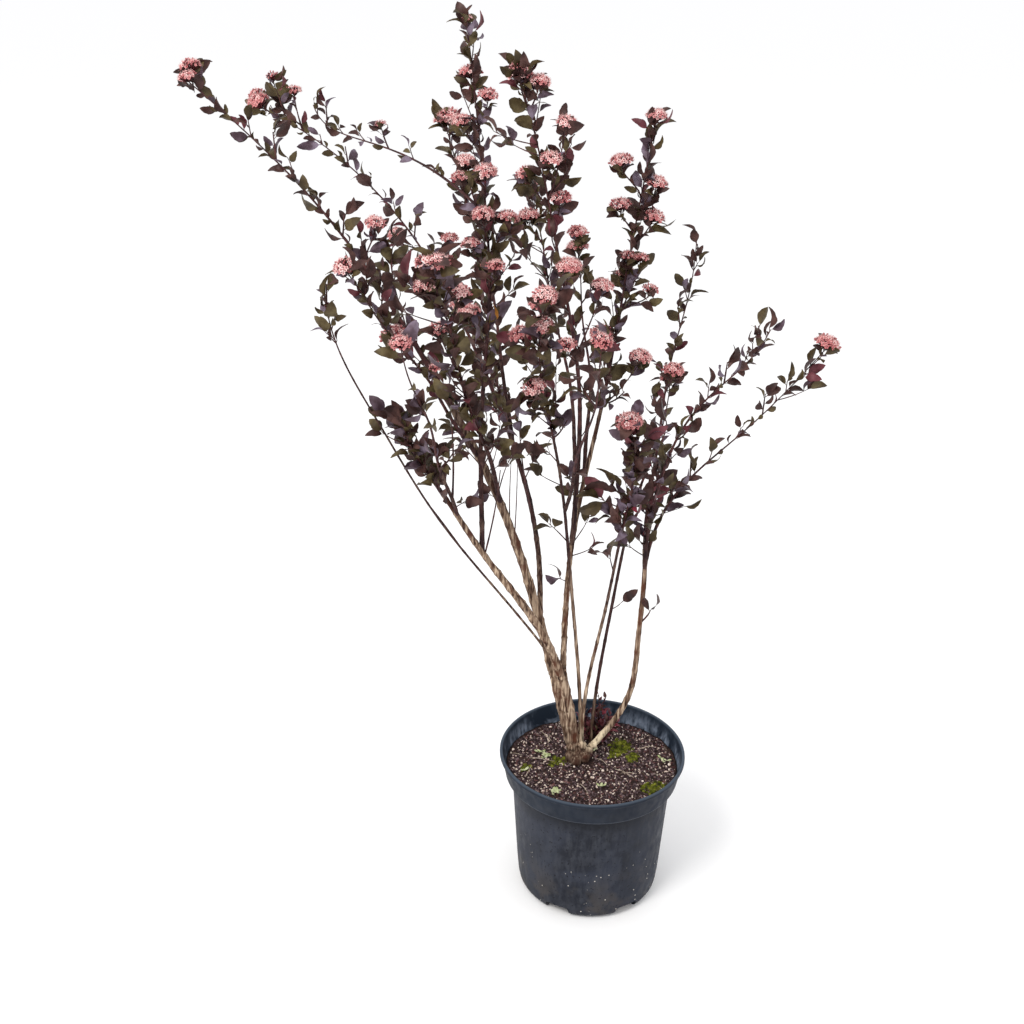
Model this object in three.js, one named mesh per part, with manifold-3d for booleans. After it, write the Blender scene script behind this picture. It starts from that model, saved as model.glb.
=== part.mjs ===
// A potted dark-leaved ninebark in flower: nursery pot, potting mix, woody crown, trunk,
// bare canes, and a leafy flowering shoot at the end of each cane.
// Millimetres. +X is to the photograph's right, +Y away from the viewer, +Z up.
// The origin is the middle of the pot's flat underside.
import * as THREE from "three";
import { mergeVertices } from "three/addons/utils/BufferGeometryUtils.js";
import Module from "manifold-3d";

const wasm = await Module();
wasm.setup();

// Clearance between neighbouring pieces.
const gap = 0.3;

// The pot: a round tapering nursery pot with a deep band under its rim.
const pot = {
  height: 218,
  rimRadius: 129,
  bandRadius: 121.5,
  bandHeight: 32,
  bodyTopRadius: 111,
  bodyFootRadius: 100,
  baseRadius: 91,
  heel: 14,
  wall: 2,
  lip: 4.2,
  floor: 3,
  facets: 28,
};
const drain = { count: 6, width: 33, height: 9, depth: 40, turn: 0.47, facets: 8 };

// The potting mix lies flat round the plant and sinks a little towards the wall. It fills the
// pot to just above the foot of the band.
const mix = { level: 192, flatRadius: 75, edgeDrop: 3, facets: 24 };

// The trunk: a flared root crown and two stems fused together that part at the fork.
const crown = { x: -20, y: 13, radius: 15, height: 27, facets: 9 };
const trunkStems = [
  { foot: [-22, 15, 184], knee: [-32, 15, 230], elbow: [-46, 11, 290], tip: [-58, 8, 345],
    footRadius: 7.6, tipRadius: 6.6 },
  { foot: [-18, 14, 184], knee: [-24, 12, 230], elbow: [-36, 6, 290], tip: [-47, 1, 345],
    footRadius: 7.6, tipRadius: 7.2 },
];

// Canes: each is a smooth curve from its foot to its tip, drawn by a knee and an elbow, and is
// bare for the share `bare`. Its foot is a point, or lies at the share `at` of another cane.
const canes = [
  { name: "far_left", on: "trunk", foot: [-58, 8, 342], knee: [-144, -12, 707],
    elbow: [-267, -36, 934], tip: [-470, -60, 1120], girth: 13, bare: 0.42,
    habit: "open", seed: 3859 },
  { name: "low_left", on: "trunk", foot: [-48, -2, 342], knee: [-101, -45, 519],
    elbow: [-230, -80, 643], tip: [-243, -115, 748], girth: 12, bare: 0.68,
    habit: "leafy", leafTip: true, seed: 8891 },
  { name: "right_tall", on: "trunk", foot: [-44, 5, 342], knee: [-47, 40, 510],
    elbow: [1, 75, 716], tip: [51, 100, 1057], girth: 10, bare: 0.58,
    habit: "spire", seed: 7263 },
  { name: "front_centre", on: "crown", foot: [-15, 12, 196], knee: [-19, 38, 543],
    elbow: [-103, -40, 769], tip: [-85, -220, 931], girth: 7, bare: 0.6,
    habit: "flowery", seed: 8114 },
  { name: "right_stem", on: "crown", foot: [-16, 12, 200], knee: [46, 4, 251],
    elbow: [67, 0, 365], tip: [57, 0, 531], girth: 9, endRadius: 3, bare: 1,
    habit: "leafy" },
  { name: "right_inner", on: "crown", foot: [-14, 8, 196], knee: [-23, 0, 440],
    elbow: [58, -60, 611], tip: [18, -130, 754], girth: 6, bare: 0.62,
    habit: "leafy", seed: 10593 },
  { name: "back_inner", on: "mix", foot: [0, 40, 186], knee: [4, 32, 503],
    elbow: [79, 60, 633], tip: [91, 130, 711], girth: 5, bare: 0.62,
    habit: "leafy", seed: 1343 },
  { name: "upper_left", on: "far_left", at: 0.075, knee: [-70, 110, 616],
    elbow: [-213, 165, 956], tip: [-438, 190, 1052], girth: 7.5, bare: 0.36,
    habit: "open", seed: 12665 },
  { name: "left_whip", on: "far_left", at: 0.025, knee: [-200, -80, 607],
    elbow: [-313, -125, 773], tip: [-323, -140, 906], girth: 5, bare: 0.82,
    habit: "leafy", leafTip: true, seed: 10593 },
  { name: "tall_centre", on: "low_left", at: 0.453, knee: [-158, -20, 753],
    elbow: [-135, 95, 911], tip: [-177, 110, 1167], girth: 6.5, bare: 0.32,
    habit: "spire", seed: 11000 },
  { name: "mid_left", on: "far_left", at: 0.335, knee: [-206, -56, 757],
    elbow: [-252, -108, 853], tip: [-297, -150, 938], girth: 5.5, bare: 0.12,
    habit: "flowery", seed: 11814 },
  { name: "tall_right", on: "right_tall", at: 0.318, knee: [-21, 14, 723],
    elbow: [-55, -16, 944], tip: [-117, -58, 1137], girth: 7, bare: 0.26,
    habit: "spire", seed: 1010 },
  { name: "right_outer", on: "right_stem", at: 0.98, knee: [55, 60, 670],
    elbow: [110, 130, 775], tip: [124, 210, 888], girth: 5.5, bare: 0.12,
    habit: "open", leafTip: true, seed: 3896 },
  { name: "right_fan", on: "right_stem", at: 0.94, knee: [45, -40, 740],
    elbow: [150, -80, 785], tip: [168, -130, 873], girth: 5.5, bare: 0.12,
    habit: "open", leafTip: true, seed: 2157 },
  { name: "far_right", on: "right_stem", at: 0.9, knee: [50, 15, 606],
    elbow: [173, 45, 653], tip: [276, 65, 784], girth: 5.5, bare: 0.14,
    habit: "open", seed: 11703 },
  { name: "right_middle", on: "right_stem", at: 1, knee: [60, 3, 585],
    elbow: [64, 10, 640], tip: [78, 16, 700], girth: 5.5, bare: 0,
    habit: "leafy", leafTip: true, seed: 11666 },
  { name: "back_left", on: "upper_left", at: 0.32, knee: [-132, 165, 760],
    elbow: [-165, 240, 890], tip: [-211, 270, 1020], girth: 5.5, bare: 0.25,
    habit: "flowery", seed: 13923 },
  { name: "back_right", on: "right_tall", at: 0.45, knee: [-12, 120, 700],
    elbow: [-18, 215, 770], tip: [-30, 270, 850], girth: 5.5, bare: 0.25,
    habit: "flowery", seed: 5302 },
  { name: "back_middle", on: "tall_right", at: 0.14, knee: [-38, 110, 720],
    elbow: [-65, 220, 820], tip: [-98, 300, 930], girth: 5.5, bare: 0.25,
    habit: "flowery", seed: 13516 },
  { name: "front_left", on: "far_left", at: 0.26, knee: [-150, -80, 720],
    elbow: [-180, -170, 850], tip: [-204, -225, 965], girth: 6, bare: 0.25,
    habit: "flowery", seed: 2416 },
  { name: "front_right", on: "front_centre", at: 0.44, knee: [-42, -100, 690],
    elbow: [-25, -190, 785], tip: [-26, -245, 890], girth: 5, bare: 0.3,
    habit: "flowery", seed: 5450 },
  { name: "front_low", on: "low_left", at: 0.6, knee: [-195, -125, 700],
    elbow: [-218, -215, 800], tip: [-231, -265, 892], girth: 4.5, bare: 0.3,
    habit: "leafy", seed: 10852 },
  { name: "back_low", on: "upper_left", at: 0.25, knee: [-115, 150, 640],
    elbow: [-165, 250, 720], tip: [-215, 320, 815], girth: 5, bare: 0.3,
    habit: "leafy", seed: 196 },
  { name: "basal", on: "mix", foot: [8, 62, 186], knee: [6, 66, 210],
    elbow: [12, 70, 232], tip: [22, 76, 254], girth: 4, bare: 0,
    habit: "leafy", leafTip: true, seed: 6967 },
];

// Side branches that leave a cane inside its own leafy part.
const branches = [
  { name: "tall_centre", at: 0.682, knee: [-262, 120, 1052], elbow: [-349, 150, 1002],
    tip: [-370, 170, 1060], girth: 4, habit: "open", leafTip: true },
  { name: "tall_right", at: 0.755, knee: [-70, -36, 1020], elbow: [-66, -44, 1050],
    tip: [-62, -50, 1075], girth: 3, habit: "open" },
  { name: "tall_right", at: 0.438, knee: [-30, 16, 816], elbow: [-17, 22, 846],
    tip: [-11, 25, 868], girth: 3.5, habit: "open" },
  { name: "upper_left", at: 0.922, knee: [-390, 186, 1035], elbow: [-395, 188, 1052],
    tip: [-396, 190, 1068], girth: 3, habit: "open" },
  { name: "upper_left", at: 0.953, knee: [-410, 190, 1050], elbow: [-420, 198, 1066],
    tip: [-424, 205, 1084], girth: 3, habit: "open" },
  { name: "right_tall", at: 0.595, knee: [12, 66, 715], elbow: [32, 69, 740],
    tip: [44, 70, 763], girth: 3, habit: "open" },
];

// How thickly a shoot is dressed: leaf spacing, the length of its side twigs from foot to tip,
// how often a leaf's place is taken by a twig, and the share of twigs that end in a flower head.
const habits = {
  open: { step: 37, twigEvery: 3, twigLong: 36, twigShort: 24, bloomShare: 0.15 },
  flowery: { step: 37, twigEvery: 2, twigLong: 54, twigShort: 28, bloomShare: 0.65 },
  spire: { step: 29, twigEvery: 2, twigLong: 46, twigShort: 30, bloomShare: 0.8 },
  leafy: { step: 22, twigEvery: 4, twigLong: 42, twigShort: 26, bloomShare: 0.3 },
};
const cane = { tipRadius: 1.3, sway: 4, limbStep: 60, limbSides: 5, shootStep: 75, shootSides: 3 };
const twig = { radius: 1.35, tipRadius: 0.8, spread: 0.95, lift: 0.7, leafStep: 30, sides: 3 };
const leaf = { length: 33, width: 17, thickness: 1.4, root: 0.3, lean: 0.8, widestAt: -0.1, ridgeAt: -0.45 };
const head = { radius: 15, depth: 6, crownHeight: 9, facets: 5 };

// A shoot keeps this far from other shoots' middles, and from bare wood.
const ownSpace = { reach: 82, margin: 1.6, woodMargin: 2 };
const goldenAngle = 2.39996;

const up = new THREE.Vector3(0, 0, 1);

// A stream of repeatable numbers between 0 and 1.
function seeded(seed) {
  let state = seed;
  return () => {
    state = (state * 16807) % 2147483647;
    return state / 2147483647;
  };
}

// A limb's middle line: a smooth curve drawn by four points, with a slow sway along it.
class LimbCurve extends THREE.Curve {
  constructor(points, sway = 0, phase = 0) {
    super();
    this.points = points;
    this.sway = sway;
    this.phase = phase;
  }

  getPoint(t, target = new THREE.Vector3()) {
    const rest = 1 - t;
    const shares = [rest ** 3, 3 * rest * rest * t, 3 * rest * t * t, t ** 3];
    const wave = this.sway * Math.sin(Math.PI * t);
    target.set(wave * Math.sin(9 * t + this.phase), wave * Math.cos(8 * t + this.phase), 0);
    this.points.forEach((point, i) => target.addScaledVector(point, shares[i]));
    return target;
  }

  direction(t) {
    const nudge = 0.004;
    const from = this.getPoint(Math.max(0, t - nudge));
    const to = this.getPoint(Math.min(1, t + nudge));
    return to.sub(from).normalize();
  }

  span() {
    const parts = 24;
    let total = 0;
    for (let i = 0; i < parts; i++) {
      total += this.getPoint(i / parts).distanceTo(this.getPoint((i + 1) / parts));
    }
    return total;
  }
}

const vector = (list) => new THREE.Vector3(...list);

// Closed geometry to solid and back.
function solidOf(geometry) {
  const bare = new THREE.BufferGeometry();
  bare.setAttribute("position", geometry.getAttribute("position"));
  if (geometry.index) bare.setIndex(geometry.index);
  const merged = mergeVertices(bare, 1e-4);
  return new wasm.Manifold(new wasm.Mesh({
    numProp: 3,
    vertProperties: new Float32Array(merged.getAttribute("position").array),
    triVerts: new Uint32Array(merged.index.array),
  }));
}

function geometryOf(solid) {
  const mesh = solid.getMesh();
  const geometry = new THREE.BufferGeometry();
  geometry.setAttribute("position", new THREE.BufferAttribute(mesh.vertProperties, 3));
  geometry.setIndex(new THREE.BufferAttribute(mesh.triVerts, 1));
  geometry.computeVertexNormals();
  return geometry;
}

// The largest body of a solid, with sealed hollows and loose scraps dropped.
function largest(solid) {
  const bodies = solid.decompose();
  bodies.sort((a, b) => b.volume() - a.volume());
  return bodies[0];
}

// A cylinder bent along a limb's middle line, its radius running from one size to another.
function limbSolid(curve, from, to, radiusFrom, radiusTo, sides, steps) {
  const geometry = new THREE.CylinderGeometry(1, 1, 1, sides, steps);
  const position = geometry.getAttribute("position");
  const reference = Math.abs(curve.direction(from).y) < 0.8
    ? new THREE.Vector3(0, 1, 0) : new THREE.Vector3(1, 0, 0);
  for (let i = 0; i < position.count; i++) {
    const share = position.getY(i) + 0.5;
    const t = from + (to - from) * share;
    const radius = radiusFrom + (radiusTo - radiusFrom) * share;
    const along = curve.direction(t);
    const across = new THREE.Vector3().crossVectors(reference, along).normalize();
    const out = new THREE.Vector3().crossVectors(across, along);
    const place = curve.getPoint(t)
      .addScaledVector(across, position.getX(i) * radius)
      .addScaledVector(out, position.getZ(i) * radius);
    position.setXYZ(i, place.x, place.y, place.z);
  }
  return solidOf(geometry);
}

// A lathe turned about +Z.
function turned(profile, facets) {
  const points = profile.map(([radius, height]) => new THREE.Vector2(radius, height));
  return new THREE.LatheGeometry(points, facets).rotateX(Math.PI / 2);
}

// Any direction square to a limb, at an angle round it.
function sideways(along, angle) {
  const reference = Math.abs(along.z) < 0.9 ? up : new THREE.Vector3(1, 0, 0);
  const across = new THREE.Vector3().crossVectors(along, reference).normalize();
  const other = new THREE.Vector3().crossVectors(along, across);
  return across.multiplyScalar(Math.cos(angle)).addScaledVector(other, Math.sin(angle));
}

// Pot and potting mix.
function potSolid() {
  const bandFoot = pot.height - pot.bandHeight;
  const shell = solidOf(turned([
    [0, 0],
    [pot.baseRadius, 0],
    [pot.bodyFootRadius - 2.5, pot.heel * 0.45],
    [pot.bodyFootRadius, pot.heel],
    [pot.bodyTopRadius, bandFoot - 2],
    [pot.bandRadius, bandFoot],
    [pot.rimRadius - 2, pot.height - 5],
    [pot.rimRadius, pot.height - 3],
    [pot.rimRadius - 1, pot.height],
    [pot.rimRadius - pot.lip, pot.height],
    [pot.bandRadius - pot.wall, bandFoot + 2],
    [pot.bodyTopRadius - pot.wall, bandFoot - 3],
    [pot.bodyFootRadius - pot.wall, pot.heel],
    [pot.baseRadius - pot.wall, pot.floor],
    [0, pot.floor],
  ], pot.facets));
  return Array.from({ length: drain.count }, (_, i) => {
    const arch = new THREE.CylinderGeometry(1, 1, drain.depth, drain.facets);
    arch.scale(drain.width / 2, 1, drain.height);
    arch.translate(0, pot.baseRadius, 0);
    arch.rotateZ(drain.turn + (i * 2 * Math.PI) / drain.count);
    return solidOf(arch);
  }).reduce((left, arch) => left.subtract(arch), shell);
}

function mixSolid() {
  const inside = (radius) => (radius - pot.wall) * Math.cos(Math.PI / pot.facets) - gap;
  return solidOf(turned([
    [0, pot.floor + gap],
    [pot.baseRadius - drain.depth / 2 - 1, pot.floor + gap],
    [inside(pot.bodyFootRadius), pot.heel + 1],
    [inside(pot.bodyTopRadius), pot.height - pot.bandHeight - 3 + gap],
    [inside(pot.bandRadius), mix.level - mix.edgeDrop],
    [mix.flatRadius, mix.level],
    [0, mix.level],
  ], mix.facets));
}

// The ground that a foot is cut flat against.
function groundSolid() {
  const deep = 60;
  return solidOf(new THREE.BoxGeometry(400, 400, deep)
    .translate(0, 0, mix.level + gap - deep / 2));
}

// The trunk, or the same shape grown by a clearance.
function trunkSolid(swell) {
  const foot = mix.level + gap - swell;
  const tall = crown.height + 2 * swell;
  const flare = solidOf(turned([
    [0, foot],
    [crown.radius * 0.94 + swell, foot],
    [crown.radius + swell, foot + tall * 0.25],
    [crown.radius * 0.86 + swell, foot + tall * 0.62],
    [crown.radius * 0.5 + swell, foot + tall * 0.93],
    [0, foot + tall],
  ], crown.facets).translate(crown.x, crown.y, 0));
  const stems = trunkStems.map((stem) => {
    const curve = new LimbCurve([stem.foot, stem.knee, stem.elbow, stem.tip].map(vector));
    const end = 1 + swell / curve.span();
    return limbSolid(curve, 0, end, stem.footRadius + swell, stem.tipRadius + swell, 8, 4);
  });
  return wasm.Manifold.union([flare, ...stems]);
}

// Works out every cane's and branch's middle line.
function layOut() {
  const laid = new Map();
  canes.forEach((row, index) => {
    const foot = row.foot ? vector(row.foot) : laid.get(row.on).curve.getPoint(row.at);
    const points = [foot, vector(row.knee), vector(row.elbow), vector(row.tip)];
    const curve = new LimbCurve(points, cane.sway, index);
    const spines = row.bare < 1 ? [{ ...row, curve, from: row.bare }] : [];
    laid.set(row.name, { ...row, curve, index, spines });
  });
  for (const row of branches) {
    const parent = laid.get(row.name);
    const points = [parent.curve.getPoint(row.at), vector(row.knee), vector(row.elbow), vector(row.tip)];
    parent.spines.push({ ...row, curve: new LimbCurve(points), from: 0 });
  }
  return laid;
}

const radiusAt = (girth, t, tipRadius = cane.tipRadius) => girth / 2 + (tipRadius - girth / 2) * t;

// Points along a stretch of a limb, for measuring distances to it.
function trace(curve, from, to) {
  const parts = Math.max(2, Math.ceil((curve.span() * (to - from)) / 20));
  return Array.from({ length: parts + 1 }, (_, i) => curve.getPoint(from + ((to - from) * i) / parts));
}

const nearest = new THREE.Vector3();
const piece = new THREE.Line3();
function distanceTo(line, point) {
  let best = Infinity;
  for (let i = 1; i < line.length; i++) {
    piece.set(line[i - 1], line[i]).closestPointToPoint(point, true, nearest);
    best = Math.min(best, nearest.distanceTo(point));
  }
  return best;
}

// Whether all of a piece's points lie in its shoot's own space and clear of bare wood.
function inOwnSpace(points, shoot, shoots, wood) {
  return points.every((point) => {
    const own = Math.min(...shoot.lines.map((line) => distanceTo(line, point)));
    if (own > ownSpace.reach || point.z < mix.level + 4) return false;
    for (const other of shoots) {
      if (other === shoot) continue;
      if (other.lines.some((line) => distanceTo(line, point) < own + ownSpace.margin)) return false;
    }
    return wood.every(({ line, radius }) => distanceTo(line, point) > radius + ownSpace.woodMargin);
  });
}

// A leaf is a six-faced kite with a ridge along it, and its root is sunk in the twig.
function leafPlaces(base, along, face, size) {
  const across = new THREE.Vector3().crossVectors(face, along).normalize();
  const out = new THREE.Vector3().crossVectors(along, across);
  const half = (leaf.length * size + leaf.root) / 2;
  const place = (x, y, z) => base.clone()
    .addScaledVector(along, half * (1 + x) - leaf.root)
    .addScaledVector(across, (y * leaf.width * size) / 2)
    .addScaledVector(out, z * leaf.thickness);
  return [
    place(-1, 0, 0),
    place(leaf.widestAt, -1, 0),
    place(1, 0, 0),
    place(leaf.widestAt, 1, 0),
    place(leaf.ridgeAt, 0, 1),
  ];
}

// The places are the root, one side, the tip, the other side, and the ridge.
function leafSolid(places) {
  const geometry = new THREE.BufferGeometry().setFromPoints(places);
  geometry.setIndex([0, 1, 4, 1, 2, 4, 2, 3, 4, 3, 0, 4, 0, 3, 2, 0, 2, 1]);
  return solidOf(geometry);
}

// A flower head is a shallow dome on a cone, its foot sunk on the twig's tip.
function headPlaces(tip, along, size) {
  const around = Array.from({ length: head.facets }, (_, i) =>
    sideways(along, (i * 2 * Math.PI) / head.facets).multiplyScalar(head.radius * size)
      .add(tip).addScaledVector(along, head.depth * size));
  const top = tip.clone().addScaledVector(along, (head.depth + head.crownHeight) * size);
  return [tip, top, ...around];
}

function headSolid(tip, along, size) {
  const geometry = turned([
    [0, -2],
    [head.radius * size, head.depth * size],
    [head.radius * 0.72 * size, (head.depth + head.crownHeight * 0.72) * size],
    [0, (head.depth + head.crownHeight) * size],
  ], head.facets);
  const turn = new THREE.Quaternion().setFromUnitVectors(up, along);
  return solidOf(geometry.applyQuaternion(turn).translate(tip.x, tip.y, tip.z));
}

// Everything that grows on one shoot, by the seeded rule.
function grow(shoot, fits) {
  const random = seeded(shoot.seed);
  const grown = { leaves: [], twigs: [], heads: [] };

  const addLeaf = (base, along, size) => {
    const sun = up.clone().multiplyScalar(1.2).add(sideways(along, 6.3 * random()));
    const places = leafPlaces(base, along, sun.normalize(), size);
    if (fits(places)) grown.leaves.push(places);
  };
  const addHead = (tip, direction) => {
    const along = direction.clone().add(up).normalize();
    const size = 0.8 + 0.35 * random();
    if (fits(headPlaces(tip, along, size))) grown.heads.push({ tip, along, size });
  };
  const addTwig = (base, direction, length, blooms) => {
    const rising = direction.clone().addScaledVector(up, twig.lift).normalize();
    const knee = base.clone().addScaledVector(direction, length / 3);
    const elbow = knee.clone().addScaledVector(rising, length / 3);
    const tip = elbow.clone().addScaledVector(rising, length / 3);
    const curve = new LimbCurve([base, knee, elbow, tip]);
    const startsAt = 0.25;
    if (!fits([curve.getPoint(startsAt), curve.getPoint(0.6), tip])) return;
    grown.twigs.push({ curve });
    let turn = 6.3 * random();
    for (let distance = twig.leafStep * 0.8; distance < length; distance += twig.leafStep) {
      turn += goldenAngle;
      const t = distance / length;
      const along = curve.direction(t).add(sideways(curve.direction(t), turn)).normalize();
      addLeaf(curve.getPoint(t), along, 0.62 + 0.4 * random());
    }
    if (blooms) addHead(tip, rising);
    addLeaf(tip, rising.clone().addScaledVector(sideways(rising, turn), 0.7).normalize(), 0.85);
  };

  for (const spine of shoot.spines) {
    const habit = habits[spine.habit];
    const length = spine.curve.span() * (1 - spine.from);
    let turn = 6.3 * random();
    let place = 0;
    for (let distance = 9; distance < length - 8; distance += habit.step * (0.8 + 0.4 * random())) {
      const t = spine.from + ((1 - spine.from) * distance) / length;
      const base = spine.curve.getPoint(t);
      const along = spine.curve.direction(t);
      turn += goldenAngle;
      const aside = sideways(along, turn);
      if (place % habit.twigEvery === 0) {
        const reach = habit.twigLong + (habit.twigShort - habit.twigLong) * t;
        const direction = along.clone().addScaledVector(aside, twig.spread).normalize();
        const blooms = random() < habit.bloomShare;
        addTwig(base, direction, reach * (0.75 + 0.5 * random()), blooms);
      } else {
        const direction = along.clone().addScaledVector(aside, leaf.lean).normalize();
        addLeaf(base, direction, 0.75 + 0.4 * random());
      }
      place += 1;
    }
    const tip = spine.curve.getPoint(1);
    const along = spine.curve.direction(1);
    if (!spine.leafTip) addHead(tip, along);
    addLeaf(tip, along.clone().addScaledVector(sideways(along, turn), 0.55).normalize(), 0.95);
  }
  return grown;
}

// One shoot as a single fused solid.
function shootSolid(shoot, grown) {
  const parts = shoot.spines.map((spine) => {
    const length = spine.curve.span() * (1 - spine.from);
    const steps = Math.max(2, Math.round(length / cane.shootStep));
    const start = spine.from > 0 ? spine.from + gap / (length / (1 - spine.from)) : 0;
    return limbSolid(spine.curve, start, 1, radiusAt(spine.girth, spine.from), cane.tipRadius,
      cane.shootSides, steps);
  });
  for (const { curve } of grown.twigs) {
    parts.push(limbSolid(curve, 0, 1, twig.radius, twig.tipRadius, twig.sides, 1));
  }
  for (const places of grown.leaves) parts.push(leafSolid(places));
  for (const { tip, along, size } of grown.heads) parts.push(headSolid(tip, along, size));
  return largest(wasm.Manifold.union(parts));
}

// Finishes: colour, roughness.
const finish = (color, roughness) => new THREE.MeshStandardMaterial({ color, roughness, metalness: 0 });
const potFinish = finish(0x20242b, 0.55);
const mixFinish = finish(0x2c2019, 0.95);
const barkFinish = finish(0x7a5f47, 0.85);
const leafFinish = finish(0x3c2830, 0.5);

const shrub = new THREE.Group();
function addNode(name, solid, material) {
  const mesh = new THREE.Mesh(geometryOf(solid), material);
  mesh.name = name;
  shrub.add(mesh);
}

function build() {
  const ground = groundSolid();
  const laid = layOut();

  addNode("pot", potSolid(), potFinish);
  addNode("potting_mix", mixSolid(), mixFinish);
  addNode("trunk", trunkSolid(0).subtract(ground), barkFinish);

  // Each limb is cut clear of the wood that it springs from and of every earlier limb.
  const swollen = [trunkSolid(gap)];
  const wood = [];
  for (const limb of laid.values()) {
    if (limb.bare === 0) continue;
    const { curve, bare, girth, endRadius } = limb;
    const steps = Math.max(2, Math.round((curve.span() * bare) / cane.limbStep));
    const make = (swell) => limbSolid(curve, 0, bare + swell / curve.span(), girth / 2 + swell,
      radiusAt(girth, bare, endRadius) + swell, cane.limbSides, steps);
    let solid = swollen.reduce((left, other) => left.subtract(other), make(0));
    if (limb.on === "mix") solid = solid.subtract(ground);
    addNode(`cane_${limb.name}`, largest(solid), barkFinish);
    swollen.push(make(gap));
    wood.push({ line: trace(curve, 0, bare), radius: girth / 2 });
  }

  const shoots = [...laid.values()].filter((limb) => limb.spines.length);
  for (const shoot of shoots) {
    shoot.lines = shoot.spines.map((spine) => trace(spine.curve, spine.from, 1));
  }
  for (const shoot of shoots) {
    const fits = (points) => inOwnSpace(points, shoot, shoots, wood);
    let solid = shootSolid(shoot, grow(shoot, fits));
    if (shoot.bare === 0) solid = swollen.reduce((left, other) => left.subtract(other), solid);
    if (shoot.on === "mix" && shoot.bare === 0) solid = solid.subtract(ground);
    addNode(`shoot_${shoot.name}`, largest(solid), leafFinish);
  }
}

build();

export default shrub;
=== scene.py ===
# A potted dark-leaved ninebark in flower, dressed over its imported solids.
# Growth is worked out in millimetres, in the row frame, and every mesh is made in metres.
import math

import bpy
import numpy as np
from mathutils import Matrix, Vector, noise


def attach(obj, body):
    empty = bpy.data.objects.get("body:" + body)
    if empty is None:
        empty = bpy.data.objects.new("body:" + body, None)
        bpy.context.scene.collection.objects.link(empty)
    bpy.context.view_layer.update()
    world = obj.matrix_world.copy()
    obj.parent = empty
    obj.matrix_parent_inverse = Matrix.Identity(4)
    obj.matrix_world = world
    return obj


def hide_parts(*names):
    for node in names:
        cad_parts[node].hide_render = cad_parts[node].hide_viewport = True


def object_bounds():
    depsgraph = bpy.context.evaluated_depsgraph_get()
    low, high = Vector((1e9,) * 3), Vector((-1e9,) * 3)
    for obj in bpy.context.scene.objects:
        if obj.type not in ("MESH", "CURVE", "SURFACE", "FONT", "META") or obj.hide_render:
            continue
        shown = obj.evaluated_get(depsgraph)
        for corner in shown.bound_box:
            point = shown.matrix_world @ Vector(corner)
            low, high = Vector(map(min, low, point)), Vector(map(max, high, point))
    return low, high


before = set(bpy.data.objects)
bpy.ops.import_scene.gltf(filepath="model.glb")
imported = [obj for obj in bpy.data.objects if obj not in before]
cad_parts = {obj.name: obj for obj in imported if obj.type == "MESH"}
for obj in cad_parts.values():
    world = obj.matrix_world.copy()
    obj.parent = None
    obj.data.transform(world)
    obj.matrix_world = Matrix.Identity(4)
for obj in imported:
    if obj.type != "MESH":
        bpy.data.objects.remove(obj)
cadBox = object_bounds()
print("frame loaded:", len(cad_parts), "nodes")

millimetre = 0.001  # in metres
goldenAngle = 2.39996
anyTurn = 6.3  # times a random number, for an angle round a stem
fullTurn = 6.283  # for strewn pieces
up = np.array((0.0, 0.0, 1.0))
shelf = bpy.data.collections.new("shelf")  # templates and helpers, never shown


# Vectors and repeatable numbers

def unit(v):
    return v / math.sqrt(v @ v)


def cross(a, b):
    (ax, ay, az), (bx, by, bz) = a, b
    return np.array((ay * bz - az * by, az * bx - ax * bz, ax * by - ay * bx))


def sideways(along, angle):
    # any direction square to a limb, at an angle round it
    reference = up if abs(along[2]) < 0.9 else np.array((1.0, 0.0, 0.0))
    across = unit(cross(along, reference))
    return across * math.cos(angle) + cross(along, across) * math.sin(angle)


def circle(sides, start=0.0):
    # cosine and sine at even steps round a circle
    turns = [2 * math.pi * (i + start) / sides for i in range(sides)]
    return [(math.cos(turn), math.sin(turn)) for turn in turns]


def seeded(seed):
    state = [seed]

    def draw():
        state[0] = (state[0] * 16807) % 2147483647
        return state[0] / 2147483647

    return draw


def rough(x, y, z):
    # smooth noise between -1 and 1 at a place
    return noise.noise(Vector((x, y, z)))


# Nodes, and finishes that read the object's own coordinates

def feed(tree, socket, value):
    # a socket takes another node's result or a plain value
    if isinstance(value, bpy.types.NodeSocket):
        tree.links.new(value, socket)
    elif socket.type == "RGBA":
        socket.default_value = (*value, 1)
    else:
        socket.default_value = value


def addNode(tree, kind, inputs, **settings):
    node = tree.nodes.new(kind)
    for setting, value in settings.items():
        setattr(node, setting, value)
    for socket, value in inputs.items():
        feed(tree, node.inputs[socket], value)
    return node


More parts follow.
